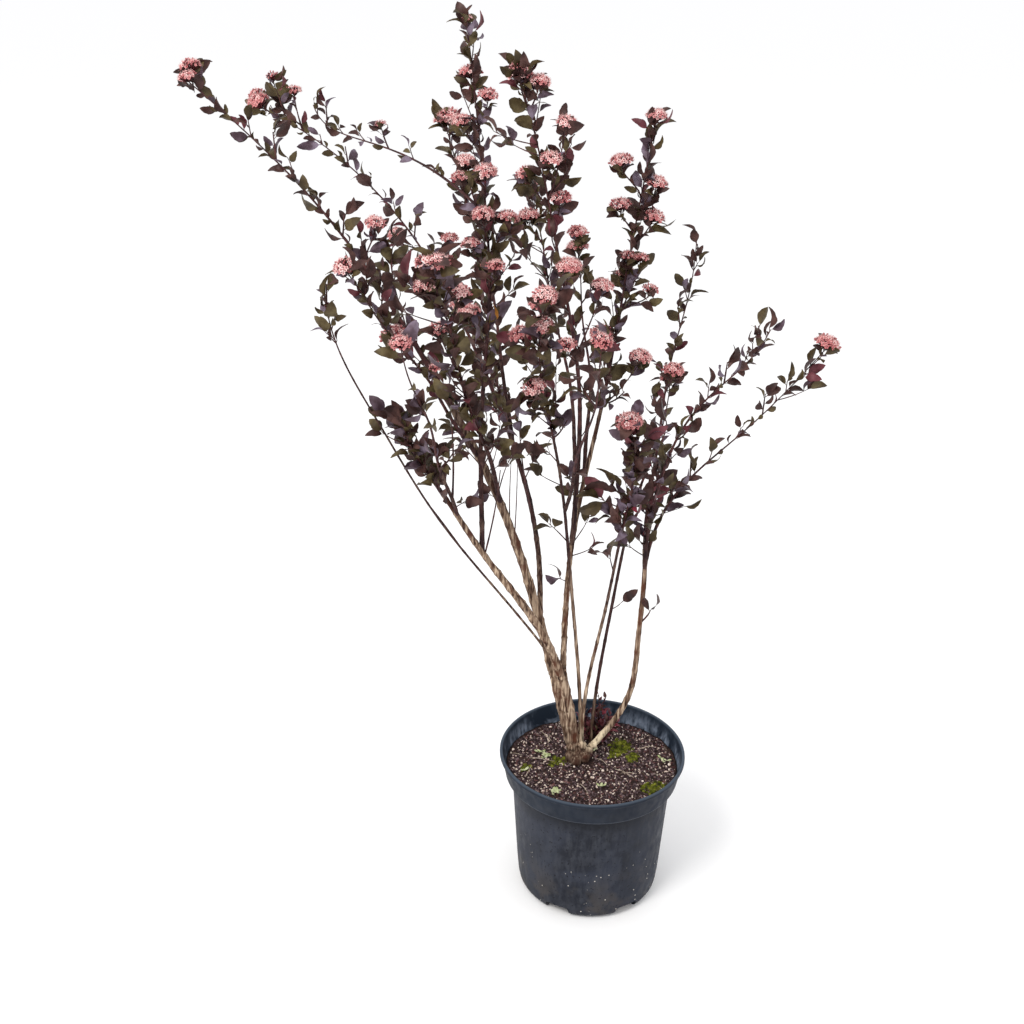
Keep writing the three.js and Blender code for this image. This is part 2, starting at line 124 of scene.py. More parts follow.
class Finish:
    def __init__(self, name, roughness, specular):
        self.material = bpy.data.materials.new(name)
        self.material.use_nodes = True
        self.tree = self.material.node_tree
        self.shader = self.tree.nodes["Principled BSDF"]
        self.set("Roughness", roughness)
        self.set("Specular IOR Level", specular)

    def set(self, label, value):
        feed(self.tree, self.shader.inputs[label], value)

    def add(self, kind, inputs, **settings):
        return addNode(self.tree, "ShaderNode" + kind, inputs, **settings)

    def place(self, stretch=(1, 1, 1)):
        own = self.add("TexCoord", {}).outputs["Object"]
        return self.add("Mapping", {"Vector": own, "Scale": stretch}).outputs["Vector"]

    def noise(self, scale, detail=4.0, distortion=0.0, stretch=(1, 1, 1)):
        return self.add("TexNoise", {"Vector": self.place(stretch), "Scale": scale,
                                     "Detail": detail, "Distortion": distortion}).outputs["Fac"]

    def ramp(self, factor, stops):
        node = self.add("ValToRGB", {"Fac": factor})
        elements = node.color_ramp.elements
        while len(elements) < len(stops):
            elements.new(0.5)
        for element, (position, colour) in zip(elements, stops):
            element.position = position
            element.color = (*colour, 1)
        return node.outputs["Color"]

    def grey(self, factor, low, high):
        # 0 below one value of a pattern, 1 above another
        return self.ramp(factor, [(low, (0, 0, 0)), (high, (1, 1, 1))])

    def times(self, first, second):
        return self.add("Math", {0: first, 1: second}, operation="MULTIPLY").outputs[0]

    def less(self, first, second):
        return self.add("Math", {0: first, 1: second}, operation="SUBTRACT").outputs[0]

    def mix(self, factor, first, second):
        return self.add("Mix", {0: factor, 6: first, 7: second}, data_type="RGBA").outputs[2]

    def coat(self, colour, mask, strength, tint):
        # a thin coat of another colour where the mask is high
        return self.mix(self.times(mask, strength), colour, tint)

    def height(self, low, high, axis="Z"):
        # 0 below one height in metres, 1 above another
        parts = self.add("SeparateXYZ", {0: self.add("TexCoord", {}).outputs["Object"]})
        return self.add("MapRange", {"Value": parts.outputs[axis], "From Min": low,
                                     "From Max": high}).outputs["Result"]

    def near(self, middle, inner, outer):
        # 1 within one distance in metres of a place, 0 beyond another
        away = self.add("VectorMath", {0: self.place(), 1: middle}, operation="DISTANCE")
        return self.add("MapRange", {"Value": away.outputs["Value"], "From Min": outer,
                                     "From Max": inner}).outputs["Result"]

    def bump(self, height, strength, distance):
        node = self.add("Bump", {"Height": height, "Strength": strength, "Distance": distance})
        self.set("Normal", node.outputs["Normal"])


def speckled(name, colours, scale, roughness, specular, bump=0.0):
    # a colour that drifts between several tones from place to place
    finish = Finish(name, roughness, specular)
    stops = [(0.34 + 0.32 * i / (len(colours) - 1), colour) for i, colour in enumerate(colours)]
    finish.set("Base Color", finish.ramp(finish.noise(scale), stops))
    if bump:
        finish.bump(finish.noise(scale * 6), bump, 0.0006)
    return finish.material


# Meshes are gathered from rings and faces, then made in one go

def smoothed(mesh, sharpAngle=None):
    mesh.polygons.foreach_set("use_smooth", [True] * len(mesh.polygons))
    if sharpAngle is not None:
        mesh.set_sharp_from_angle(angle=math.radians(sharpAngle))
    mesh.update()
    return mesh


class Gathered:
    def __init__(self):
        self.places = []
        self.faces = []

    def add(self, places, faces):
        base = len(self.places)
        self.places.extend(places)
        self.faces.extend([tuple(base + i for i in face) for face in faces])

    def addSkin(self, rings, flip=False):
        # faces between rings of equal counts
        sides = len(rings[0])
        base = len(self.places)
        for ring in rings:
            self.places.extend(ring)
        top = len(self.places) - sides
        for low in range(base, top, sides):
            for i in range(sides):
                j = (i + 1) % sides
                face = (low + i, low + j, low + sides + j, low + sides + i)
                self.faces.append((face[0], *face[:0:-1]) if flip else face)
        return base, top

    def addTube(self, rings, flip=False):
        # the same with both ends closed
        base, top = self.addSkin(rings, flip)
        first = tuple(range(base, base + len(rings[0])))
        last = tuple(range(top, top + len(rings[0])))
        self.faces.extend([first, last[::-1]] if flip else [first[::-1], last])

    def mesh(self, name, sharpAngle=None):
        mesh = bpy.data.meshes.new(name)
        places = [tuple(float(c) * millimetre for c in place) for place in self.places]
        mesh.from_pydata(places, [], self.faces)
        return smoothed(mesh, sharpAngle)


def pieceOf(mesh, finish=None):
    piece = bpy.data.objects.new(mesh.name, mesh)
    bpy.context.scene.collection.objects.link(piece)
    if finish:
        mesh.materials.clear()
        mesh.materials.append(finish)
    return piece


def settle(piece, slot, *nodes):
    # every piece goes with the one body, and may stand for solids of the frame
    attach(piece, "root")
    if nodes:
        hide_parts(*nodes)
    print(piece.name, len(piece.data.polygons), "faces")


def evaluated(source, name):
    depsgraph = bpy.context.evaluated_depsgraph_get()
    mesh = bpy.data.meshes.new_from_object(source.evaluated_get(depsgraph), depsgraph=depsgraph)
    mesh.name = name
    source.modifiers.clear()
    bpy.data.objects.remove(source)
    return mesh


# Node trees that repeat a template

growthLayers = {"along": "FLOAT_VECTOR", "face": "FLOAT_VECTOR", "size": "FLOAT_VECTOR",
                "shape": "INT"}


def newTree(name, **inputs):
    tree = bpy.data.node_groups.new(name, "GeometryNodeTree")
    for label, kind in {"Geometry": "Geometry", "Finish": "Material", **inputs}.items():
        tree.interface.new_socket(label, in_out="INPUT", socket_type="NodeSocket" + kind)
    tree.interface.new_socket("Geometry", in_out="OUTPUT", socket_type="NodeSocketGeometry")
    return tree, tree.nodes.new("NodeGroupInput").outputs


def endTree(tree, start, geometry):
    real = addNode(tree, "GeometryNodeRealizeInstances", {"Geometry": geometry})
    painted = addNode(tree, "GeometryNodeSetMaterial", {
        "Geometry": real.outputs[0], "Material": start["Finish"]})
    addNode(tree, "NodeGroupOutput", {"Geometry": painted.outputs[0]})
    return tree


def growOn(tree, start, points, rotation, scale, **inputs):
    # one of the collection's templates on each point
    shapes = addNode(tree, "GeometryNodeCollectionInfo", {
        "Collection": start["Shapes"], "Separate Children": True, "Reset Children": True})
    grown = addNode(tree, "GeometryNodeInstanceOnPoints", {
        "Points": points, "Instance": shapes.outputs[0], "Pick Instance": True,
        "Rotation": rotation, "Scale": scale, **inputs})
    return endTree(tree, start, grown.outputs[0])


def runTree(source, tree, values, name):
    modifier = source.modifiers.new("repeat", "NODES")
    modifier.node_group = tree
    for item in tree.interface.items_tree:
        if item.in_out == "INPUT" and item.name in values:
            modifier[item.identifier] = values[item.name]
    mesh = evaluated(source, name)
    for label in [layer.name for layer in mesh.attributes if layer.name in growthLayers]:
        mesh.attributes.remove(mesh.attributes[label])
    return mesh


def makeGrowTree():
    # every point's template is turned along its direction, with its face outwards
    tree, start = newTree("growOnPoints", Shapes="Collection")
    layers = {}
    for label, kind in growthLayers.items():
        layer = addNode(tree, "GeometryNodeInputNamedAttribute", {"Name": label}, data_type=kind)
        layers[label] = layer.outputs["Attribute"]
    turn = addNode(tree, "FunctionNodeAxesToRotation", {
        "Primary Axis": layers["along"], "Secondary Axis": layers["face"]},
        primary_axis="X", secondary_axis="Z")
    return growOn(tree, start, start["Geometry"], turn.outputs["Rotation"], layers["size"],
                  **{"Instance Index": layers["shape"]})


def makeStrewTree():
    # templates strewn at random over a surface, near its middle
    tree, start = newTree("strewOnSurface", Shapes="Collection", Density="Float", Seed="Int",
                          Smallest="Float", Largest="Float", Middle="Vector", Reach="Float",
                          Tilt="Float")
    place = addNode(tree, "GeometryNodeInputPosition", {})
    away = addNode(tree, "ShaderNodeVectorMath", {0: place.outputs[0], 1: start["Middle"]},
                   operation="DISTANCE")
    near = addNode(tree, "FunctionNodeCompare", {0: away.outputs["Value"], 1: start["Reach"]},
                   data_type="FLOAT", operation="LESS_THAN")
    strewn = addNode(tree, "GeometryNodeDistributePointsOnFaces", {
        "Mesh": start["Geometry"], "Selection": near.outputs["Result"], "Density": start["Density"],
        "Seed": start["Seed"]})
    size = addNode(tree, "FunctionNodeRandomValue", {2: start["Smallest"], 3: start["Largest"]},
                   data_type="FLOAT")
    tilt = start["Tilt"]
    less = addNode(tree, "ShaderNodeMath", {0: tilt, 1: -1}, operation="MULTIPLY").outputs[0]
    low = addNode(tree, "ShaderNodeCombineXYZ", {"X": less, "Y": less})
    high = addNode(tree, "ShaderNodeCombineXYZ", {"X": tilt, "Y": tilt, "Z": fullTurn})
    turn = addNode(tree, "FunctionNodeRandomValue", {0: low.outputs[0], 1: high.outputs[0]},
                   data_type="FLOAT_VECTOR")
    return growOn(tree, start, strewn.outputs["Points"], turn.outputs[0], size.outputs[1])


growTree = makeGrowTree()
strewTree = makeStrewTree()


def shapeShelf(name, *meshes):
    # a collection of templates, numbered in their order
    box = bpy.data.collections.new(name)
    shelf.children.link(box)
    for mesh in meshes:
        box.objects.link(bpy.data.objects.new(mesh.name, mesh))
    return box


def growPiece(name, rows, shapes, finish):
    # rows of (place, along, face, size, shape)
    points = bpy.data.meshes.new(name + "Points")
    points.from_pydata([tuple(row[0] * millimetre) for row in rows], [], [])
    for column, (label, kind) in enumerate(growthLayers.items(), start=1):
        layer = points.attributes.new(label, kind, "POINT")
        values = np.ravel([row[column] for row in rows]).tolist()
        layer.data.foreach_set("value" if kind == "INT" else "vector", values)
    return pieceOf(runTree(pieceOf(points), growTree, {"Shapes": shapes, "Finish": finish}, name))


def strewPiece(name, surface, shapes, finish, **values):
    # the whole surface where no patch of it is named
    values = {"Shapes": shapes, "Finish": finish, "Middle": (0.0, 0.0, 0.18), "Reach": 1.0,
              **values}
    return pieceOf(runTree(pieceOf(surface.copy()), strewTree, values, name))


# The shrub's limbs, as in the solids

mixSize = {"level": 192, "edgeDrop": 3, "radius": 119, "mound": 3.0, "clear": 4}
crownSize = {"x": -20, "y": 13, "radius": 15, "height": 27}
trunkStems = [
    {"foot": (-22, 15, 184), "knee": (-32, 15, 230), "elbow": (-46, 11, 290), "tip": (-58, 8, 345),
     "footRadius": 7.6, "tipRadius": 6.6},
    {"foot": (-18, 14, 184), "knee": (-24, 12, 230), "elbow": (-36, 6, 290), "tip": (-47, 1, 345),
     "footRadius": 7.6, "tipRadius": 7.2},
]
usualLimb = {  # where a cane or a branch says nothing else
    "sway": 4, "endRadius": 1.3, "slim": 1, "sprigs": 1, "openFoot": 0, "openTip": 0,
    "headScale": 1, "tipHead": 1, "leafTip": False, "crowded": False,
}
canes = [
    {"name": "far_left", "on": "trunk", "foot": (-58, 8, 342), "knee": (-144, -12, 707),
     "elbow": (-267, -36, 934), "tip": (-470, -60, 1120), "girth": 13, "bare": 0.42,
     "habit": "open", "headScale": 0.9, "fine": 9.5, "sprigs": 1.4, "seed": 3859},
    {"name": "low_left", "on": "trunk", "foot": (-48, -2, 342), "knee": (-101, -45, 519),
     "elbow": (-230, -80, 643), "tip": (-243, -115, 748), "girth": 12, "bare": 0.68,
     "habit": "leafy", "leafTip": True, "leafScale": 1.15, "fine": 6, "seed": 8891},
    {"name": "right_tall", "on": "trunk", "foot": (-44, 5, 342), "knee": (-47, 40, 510),
     "elbow": (1, 75, 716), "tip": (51, 100, 1057), "girth": 10, "bare": 0.58, "habit": "spire",
     "slim": 0.88, "sprigs": 2.1, "fine": 4.6, "leafScale": 1.0, "seed": 7263},
    {"name": "front_centre", "on": "crown", "foot": (-15, 12, 196), "knee": (-19, 38, 543),
     "elbow": (-103, -40, 769), "tip": (-85, -220, 931), "girth": 7, "bare": 0.6,
     "habit": "flowery", "fine": 7, "slim": 0.78, "sprigs": 1.9, "leafScale": 1.06, "seed": 8114},
    {"name": "right_stem", "on": "crown", "foot": (-16, 12, 200), "knee": (46, 4, 251),
     "elbow": (67, 0, 365), "tip": (57, 0, 531), "girth": 9, "endRadius": 3, "bare": 1,
     "habit": "leafy"},
    {"name": "right_inner", "on": "crown", "foot": (-14, 8, 196), "knee": (-23, 0, 440),
     "elbow": (58, -60, 611), "tip": (18, -130, 754), "girth": 6, "bare": 0.62, "habit": "leafy",
     "fine": 4.5, "crowded": True, "slim": 0.9, "seed": 10593},
    {"name": "back_inner", "on": "mix", "foot": (0, 40, 186), "knee": (4, 32, 503),
     "elbow": (79, 60, 633), "tip": (91, 130, 711), "girth": 5, "bare": 0.62, "habit": "leafy",
     "openTip": 1, "seed": 1343},
    {"name": "upper_left", "on": "far_left", "at": 0.075, "knee": (-70, 110, 616),
     "elbow": (-213, 165, 956), "tip": (-438, 190, 1052), "girth": 7.5, "bare": 0.36,
     "habit": "open", "fine": 11.5, "sprigs": 1.3, "seed": 12665},
    {"name": "left_whip", "on": "far_left", "at": 0.025, "knee": (-200, -80, 607),
     "elbow": (-313, -125, 773), "tip": (-323, -140, 906), "girth": 5, "bare": 0.82,
     "habit": "leafy", "leafTip": True, "fine": 16, "leafScale": 0.8, "openFoot": 0.7, "slim": 0.65,
     "seed": 10593},
    {"name": "tall_centre", "on": "low_left", "at": 0.453, "knee": (-158, -20, 753),
     "elbow": (-135, 95, 911), "tip": (-177, 110, 1167), "girth": 6.5, "bare": 0.32,
     "habit": "spire", "tipHead": 0.45, "sprigs": 2, "fine": 6, "leafScale": 0.98, "seed": 11000},
    {"name": "mid_left", "on": "far_left", "at": 0.335, "knee": (-206, -56, 757),
     "elbow": (-252, -108, 853), "tip": (-297, -150, 938), "girth": 5.5, "bare": 0.12,
     "habit": "flowery", "fine": 6, "openFoot": 1.6, "sprigs": 1.6, "seed": 11814},
    {"name": "tall_right", "on": "right_tall", "at": 0.318, "knee": (-21, 14, 723),
     "elbow": (-55, -16, 944), "tip": (-117, -58, 1137), "girth": 7, "bare": 0.26, "habit": "spire",
     "tipHead": 0.5, "openFoot": 1.9, "fine": 8, "sprigs": 1.6, "seed": 1010},
    {"name": "right_outer", "on": "right_stem", "at": 0.98, "knee": (55, 60, 670),
     "elbow": (110, 130, 775), "tip": (124, 210, 888), "girth": 5.5, "bare": 0.12, "habit": "open",
     "leafTip": True, "seed": 3896},
    {"name": "right_fan", "on": "right_stem", "at": 0.94, "knee": (45, -40, 740),
     "elbow": (150, -80, 785), "tip": (168, -130, 873), "girth": 5.5, "bare": 0.12, "habit": "open",
     "leafTip": True, "seed": 2157},
    {"name": "far_right", "on": "right_stem", "at": 0.9, "knee": (50, 15, 606),
     "elbow": (173, 45, 653), "tip": (276, 65, 784), "girth": 5.5, "bare": 0.14, "habit": "open",
     "headScale": 1.3, "seed": 11703},
    {"name": "right_middle", "on": "right_stem", "at": 1, "knee": (60, 3, 585),
     "elbow": (64, 10, 640), "tip": (78, 16, 700), "girth": 5.5, "bare": 0, "habit": "leafy",
     "leafTip": True, "fine": 3.4, "crowded": True, "openTip": 0.8, "leafScale": 1.15,
     "seed": 11666},
    {"name": "back_left", "on": "upper_left", "at": 0.32, "knee": (-132, 165, 760),
     "elbow": (-165, 240, 890), "tip": (-211, 270, 1020), "girth": 5.5, "bare": 0.25,
     "habit": "flowery", "sprigs": 1.9, "fine": 6.5, "leafScale": 1.06, "seed": 13923},
    {"name": "back_right", "on": "right_tall", "at": 0.45, "knee": (-12, 120, 700),
     "elbow": (-18, 215, 770), "tip": (-30, 270, 850), "girth": 5.5, "bare": 0.25,
     "habit": "flowery", "fine": 16, "openFoot": 2.4, "seed": 5302},
    {"name": "back_middle", "on": "tall_right", "at": 0.14, "knee": (-38, 110, 720),
     "elbow": (-65, 220, 820), "tip": (-98, 300, 930), "girth": 5.5, "bare": 0.25,
     "habit": "flowery", "fine": 8, "openFoot": 0.8, "leafScale": 1.05, "seed": 13516},
    {"name": "front_left", "on": "far_left", "at": 0.26, "knee": (-150, -80, 720),
     "elbow": (-180, -170, 850), "tip": (-204, -225, 965), "girth": 6, "bare": 0.25,
     "habit": "flowery", "fine": 5, "sprigs": 1.9, "leafScale": 1.08, "seed": 2416},
    {"name": "front_right", "on": "front_centre", "at": 0.44, "knee": (-42, -100, 690),
     "elbow": (-25, -190, 785), "tip": (-26, -245, 890), "girth": 5, "bare": 0.3,
     "habit": "flowery", "fine": 26, "openFoot": 2.6, "seed": 5450},
    {"name": "front_low", "on": "low_left", "at": 0.6, "knee": (-195, -125, 700),
     "elbow": (-218, -215, 800), "tip": (-231, -265, 892), "girth": 4.5, "bare": 0.3,
     "habit": "leafy", "fine": 18, "openTip": 1.5, "seed": 10852},
    {"name": "back_low", "on": "upper_left", "at": 0.25, "knee": (-115, 150, 640),
     "elbow": (-165, 250, 720), "tip": (-215, 320, 815), "girth": 5, "bare": 0.3, "habit": "leafy",
     "seed": 196},
    {"name": "basal", "on": "mix", "foot": (8, 62, 186), "knee": (6, 66, 210),
     "elbow": (12, 70, 232), "tip": (22, 76, 254), "girth": 4, "bare": 0, "habit": "leafy",
     "leafTip": True, "fine": 4, "leafScale": 0.3, "seed": 6967},
]
branches = [
    {"name": "tall_centre", "at": 0.682, "knee": (-262, 120, 1052), "elbow": (-349, 150, 1002),
     "tip": (-370, 170, 1060), "girth": 4, "habit": "open", "leafTip": True, "headScale": 0.5,
     "fine": 26, "leafScale": 0.65},
    {"name": "tall_right", "at": 0.755, "knee": (-70, -36, 1020), "elbow": (-66, -44, 1050),
     "tip": (-62, -50, 1075), "girth": 3, "habit": "open"},
    {"name": "tall_right", "at": 0.438, "knee": (-30, 16, 816), "elbow": (-17, 22, 846),
     "tip": (-11, 25, 868), "girth": 3.5, "habit": "open"},
    {"name": "upper_left", "at": 0.922, "knee": (-390, 186, 1035), "elbow": (-395, 188, 1052),
     "tip": (-396, 190, 1068), "girth": 3, "habit": "open", "headScale": 0.8},
    {"name": "upper_left", "at": 0.953, "knee": (-410, 190, 1050), "elbow": (-420, 198, 1066),
     "tip": (-424, 205, 1084), "girth": 3, "habit": "open", "headScale": 0.5},
    {"name": "right_tall", "at": 0.595, "knee": (12, 66, 715), "elbow": (32, 69, 740),
     "tip": (44, 70, 763), "girth": 3, "habit": "open"},
]
habits = {  # the last four are for the finer growth, which the solids don't have
    "open": {"step": 37, "twigEvery": 3, "twigLong": 36, "twigShort": 24, "bloomShare": 0.15,
             "fine": 14.5, "sprigLeaves": 2, "leafScale": 0.85, "thinning": 2},
    "flowery": {"step": 37, "twigEvery": 2, "twigLong": 54, "twigShort": 28, "bloomShare": 0.65,
                "fine": 9, "sprigLeaves": 3, "leafScale": 0.94, "thinning": 1.4},
    "spire": {"step": 29, "twigEvery": 2, "twigLong": 46, "twigShort": 30, "bloomShare": 0.8,
              "fine": 8.5, "sprigLeaves": 4, "leafScale": 0.92, "thinning": 1.3},
    "leafy": {"step": 22, "twigEvery": 4, "twigLong": 42, "twigShort": 26, "bloomShare": 0.3,
              "fine": 8, "sprigLeaves": 3, "leafScale": 1.0, "thinning": 1.3},
}
twigSize = {"spread": 0.95, "lift": 0.7, "leafStep": 30, "firstLeaf": 24, "tipLeaf": 0.85,
            "thick": (1.15, 0.7)}
spineSize = {"footGap": 9, "tipGap": 8, "tipLeaf": 0.95}
solidLeaf = {"length": 33, "width": 17, "thickness": 1.4, "root": 0.3, "widestAt": -0.1,
             "ridgeAt": -0.45}
solidHead = {"radius": 15, "depth": 6, "crownHeight": 9, "facets": 5}
ownSpace = {"reach": 82, "margin": 1.6, "woodMargin": 2}


class LimbCurve:
    # a limb's middle line: a smooth curve drawn by four points, with a slow sway along it
    def __init__(self, *points, sway=0.0, phase=0.0):
        self.points = np.array(points, float)
        self.sway = sway
        self.phase = phase

    def at(self, t):
        rest = 1 - t
        shares = np.array((rest**3, 3 * rest * rest * t, 3 * rest * t * t, t**3))
        wave = self.sway * math.sin(math.pi * t)
        place = shares @ self.points
        place[0] += wave * math.sin(9 * t + self.phase)
        place[1] += wave * math.cos(8 * t + self.phase)
        return place

    def direction(self, t):
        nudge = 0.004
        return unit(self.at(min(1, t + nudge)) - self.at(max(0, t - nudge)))

    def span(self):
        parts = 24
        stops = [self.at(i / parts) for i in range(parts + 1)]
        return sum(math.dist(a, b) for a, b in zip(stops, stops[1:]))


def layOut():
    laid = {}
    for index, row in enumerate(canes):
        row = {**usualLimb, **habits[row["habit"]], **row}
        foot = row["foot"] if "foot" in row else laid[row["on"]]["curve"].at(row["at"])
        row["curve"] = LimbCurve(foot, row["knee"], row["elbow"], row["tip"], sway=row["sway"],
                                 phase=index)
        spines = [{**row, "from": row["bare"]}] if row["bare"] < 1 else []
        laid[row["name"]] = {**row, "spines": spines}
    for row in branches:
        row = {**usualLimb, **habits[row["habit"]], **row, "from": 0}
        parent = laid[row["name"]]
        foot = parent["curve"].at(row["at"])
        row["curve"] = LimbCurve(foot, row["knee"], row["elbow"], row["tip"])
        parent["spines"].append(row)
    return laid


def trace(curve, start, end):
    # places along a limb, about 20 mm apart
    parts = max(2, math.ceil(curve.span() * (end - start) / 20))
    return np.array([curve.at(start + (end - start) * i / parts) for i in range(parts + 1)])


def segmentsOf(lines):
    starts = np.vstack([line[:-1] for line in lines])
    ends = np.vstack([line[1:] for line in lines])
    return starts, ends - starts


def distances(points, starts, spans):
    away = points[:, None, :] - starts[None]
    share = np.clip((away * spans).sum(2) / (spans**2).sum(1), 0, 1)
    return np.linalg.norm(away - share[..., None] * spans, axis=2)


def roomFor(shoot, shoots, wood):
    # whether a piece's points lie in the shoot's own space and clear of bare wood
    own = segmentsOf(shoot["lines"])
    others = segmentsOf([line for other in shoots if other is not shoot for line in other["lines"]])
    bare = segmentsOf([line for line, _ in wood])
    clear = np.concatenate([[radius + ownSpace["woodMargin"]] * (len(line) - 1)
                            for line, radius in wood])
    lowest = mixSize["level"] + mixSize["clear"]

    def fits(points):
        points = np.array(points)
        reach = distances(points, *own).min(1)
        if (reach > ownSpace["reach"]).any() or (points[:, 2] < lowest).any():
            return False
        if (distances(points, *others).min(1) < reach + ownSpace["margin"]).any():
            return False
        return bool((distances(points, *bare) > clear).all())

    return fits


def leafPlaces(base, along, face, size):
    across = unit(cross(face, along))
    out = cross(along, across)
    half = (solidLeaf["length"] * size + solidLeaf["root"]) / 2
    stops = ((-1, 0, 0), (solidLeaf["widestAt"], -1, 0), (1, 0, 0), (solidLeaf["widestAt"], 1, 0),
             (solidLeaf["ridgeAt"], 0, 1))
    return [base + along * (half * (1 + x) - solidLeaf["root"])
            + across * (y * solidLeaf["width"] * size / 2) + out * (z * solidLeaf["thickness"])
            for x, y, z in stops]


def headPlaces(tip, along, size):
    facets = solidHead["facets"]
    rim = [sideways(along, i * 2 * math.pi / facets) * solidHead["radius"] * size + tip
           + along * solidHead["depth"] * size for i in range(facets)]
    return [tip, tip + along * (solidHead["depth"] + solidHead["crownHeight"]) * size, *rim]


# Growth: the solids' own stream places twigs and heads, and a second one the finer leaves

fineSize = {"leafStep": 9, "sprigReach": 17, "sprigLift": 0.45, "sprigAway": -0.7,
            "sprigThick": (0.8, 0.5), "bloomThick": (1.15, 0.75), "headLeaves": 4,
            "underHead": 2, "headLeafStep": 3.2, "tipLeaves": 3, "tipLeafStep": 3, "outside": 5}
openness = {"least": 0.85, "foot": 0.65, "more": 2.5}  # of the finer leaves along a spine
tipLean = {"underBloom": 1.6, "twig": 0.7, "underHead": 1.5, "spine": 0.55}
leafLean = {"twigLeaf": 1, "spineLeaf": 0.8, "headLeaf": 1.8, "sprigTip": 0.4, "sprigLeaf": 1.1,
            "fineTwigLeaf": 0.95, "fineSpineLeaf": 0.75}
varies = {  # smallest value, and how much more at most
    "twigLeaf": (0.62, 0.4), "spineLeaf": (0.75, 0.4), "headLeaf": (0.55, 0.3),
    "sprigTip": (0.6, 0.3), "sprigLeaf": (0.45, 0.35), "fineTwigLeaf": (0.55, 0.4),
    "fineSpineLeaf": (0.42, 0.55), "wispLeaf": (0.55, 0.32), "clumpLeaf": (0.75, 0.5),
    "head": (0.8, 0.35), "twigReach": (0.75, 0.5), "sprigReach": (0.6, 0.8),
    "clumpHeight": (0.85, 0.3), "step": (0.8, 0.4), "fineStep": (0.7, 0.6),
    "opened": (0.45, 0.55), "pale": (0.35, 0.5), "floret": (0.72, 0.3), "floretOut": (0.92, 0.14),
    "stamenSpread": (0.25, 0.6), "stamenLength": (3.8, 1.3), "grain": (0.7, 0.5),
    "seedLeaf": (0.8, 0.5),
}
moreBlooms = [  # flowering twigs that the solids leave out: shoot, place on its spine, tip, size
    ("tall_centre", 0.83, (-151, 92, 1080), 0.85), ("tall_right", 0.91, (-113, -46, 1123), 1.05),
    ("right_tall", 0.91, (12, 92, 1004), 1.0), ("right_tall", 0.88, (54, 90, 979), 0.95),
    ("right_tall", 0.86, (12, 87, 952), 0.95), ("back_left", 0.74, (-189, 235, 952), 0.9),
    ("back_middle", 0.8, (-98, 265, 894), 1.05), ("tall_right", 0.79, (-78, -58, 1037), 0.85),
    ("tall_right", 0.68, (-66, -24, 985), 0.95), ("back_low", 0.97, (-209, 329, 845), 0.9),
    ("back_left", 0.53, (-175, 203, 871), 0.9), ("far_left", 0.66, (-277, -34, 956), 0.9),
    ("upper_left", 0.65, (-268, 155, 896), 0.85), ("front_left", 0.84, (-209, -209, 936), 0.85),
    ("front_centre", 0.83, (-87, -190, 888), 0.95), ("right_tall", 0.75, (52, 79, 850), 0.75),
    ("right_tall", 0.78, (23, 82, 892), 0.7), ("right_tall", 0.74, (39, 82, 890), 0.7),
    ("tall_right", 0.57, (-54, -28, 906), 1.1), ("tall_right", 0.42, (-52, -10, 805), 0.9),
    ("right_outer", 0.48, (88, 74, 745), 0.95), ("mid_left", 0.39, (-206, -84, 803), 0.6),
    ("tall_centre", 0.62, (-155, 44, 949), 0.95), ("tall_centre", 0.53, (-139, 28, 892), 0.8),
]


def varied(kind, draw):
    smallest, more = varies[kind]
    return smallest + more * draw()


def leaning(along, turn, lean):
    return unit(along + lean * sideways(along, turn))


def facing(along, turn, sunny=0.7):
    # which way a leaf's upper side looks
    return unit(sunny * up + sideways(along, turn))


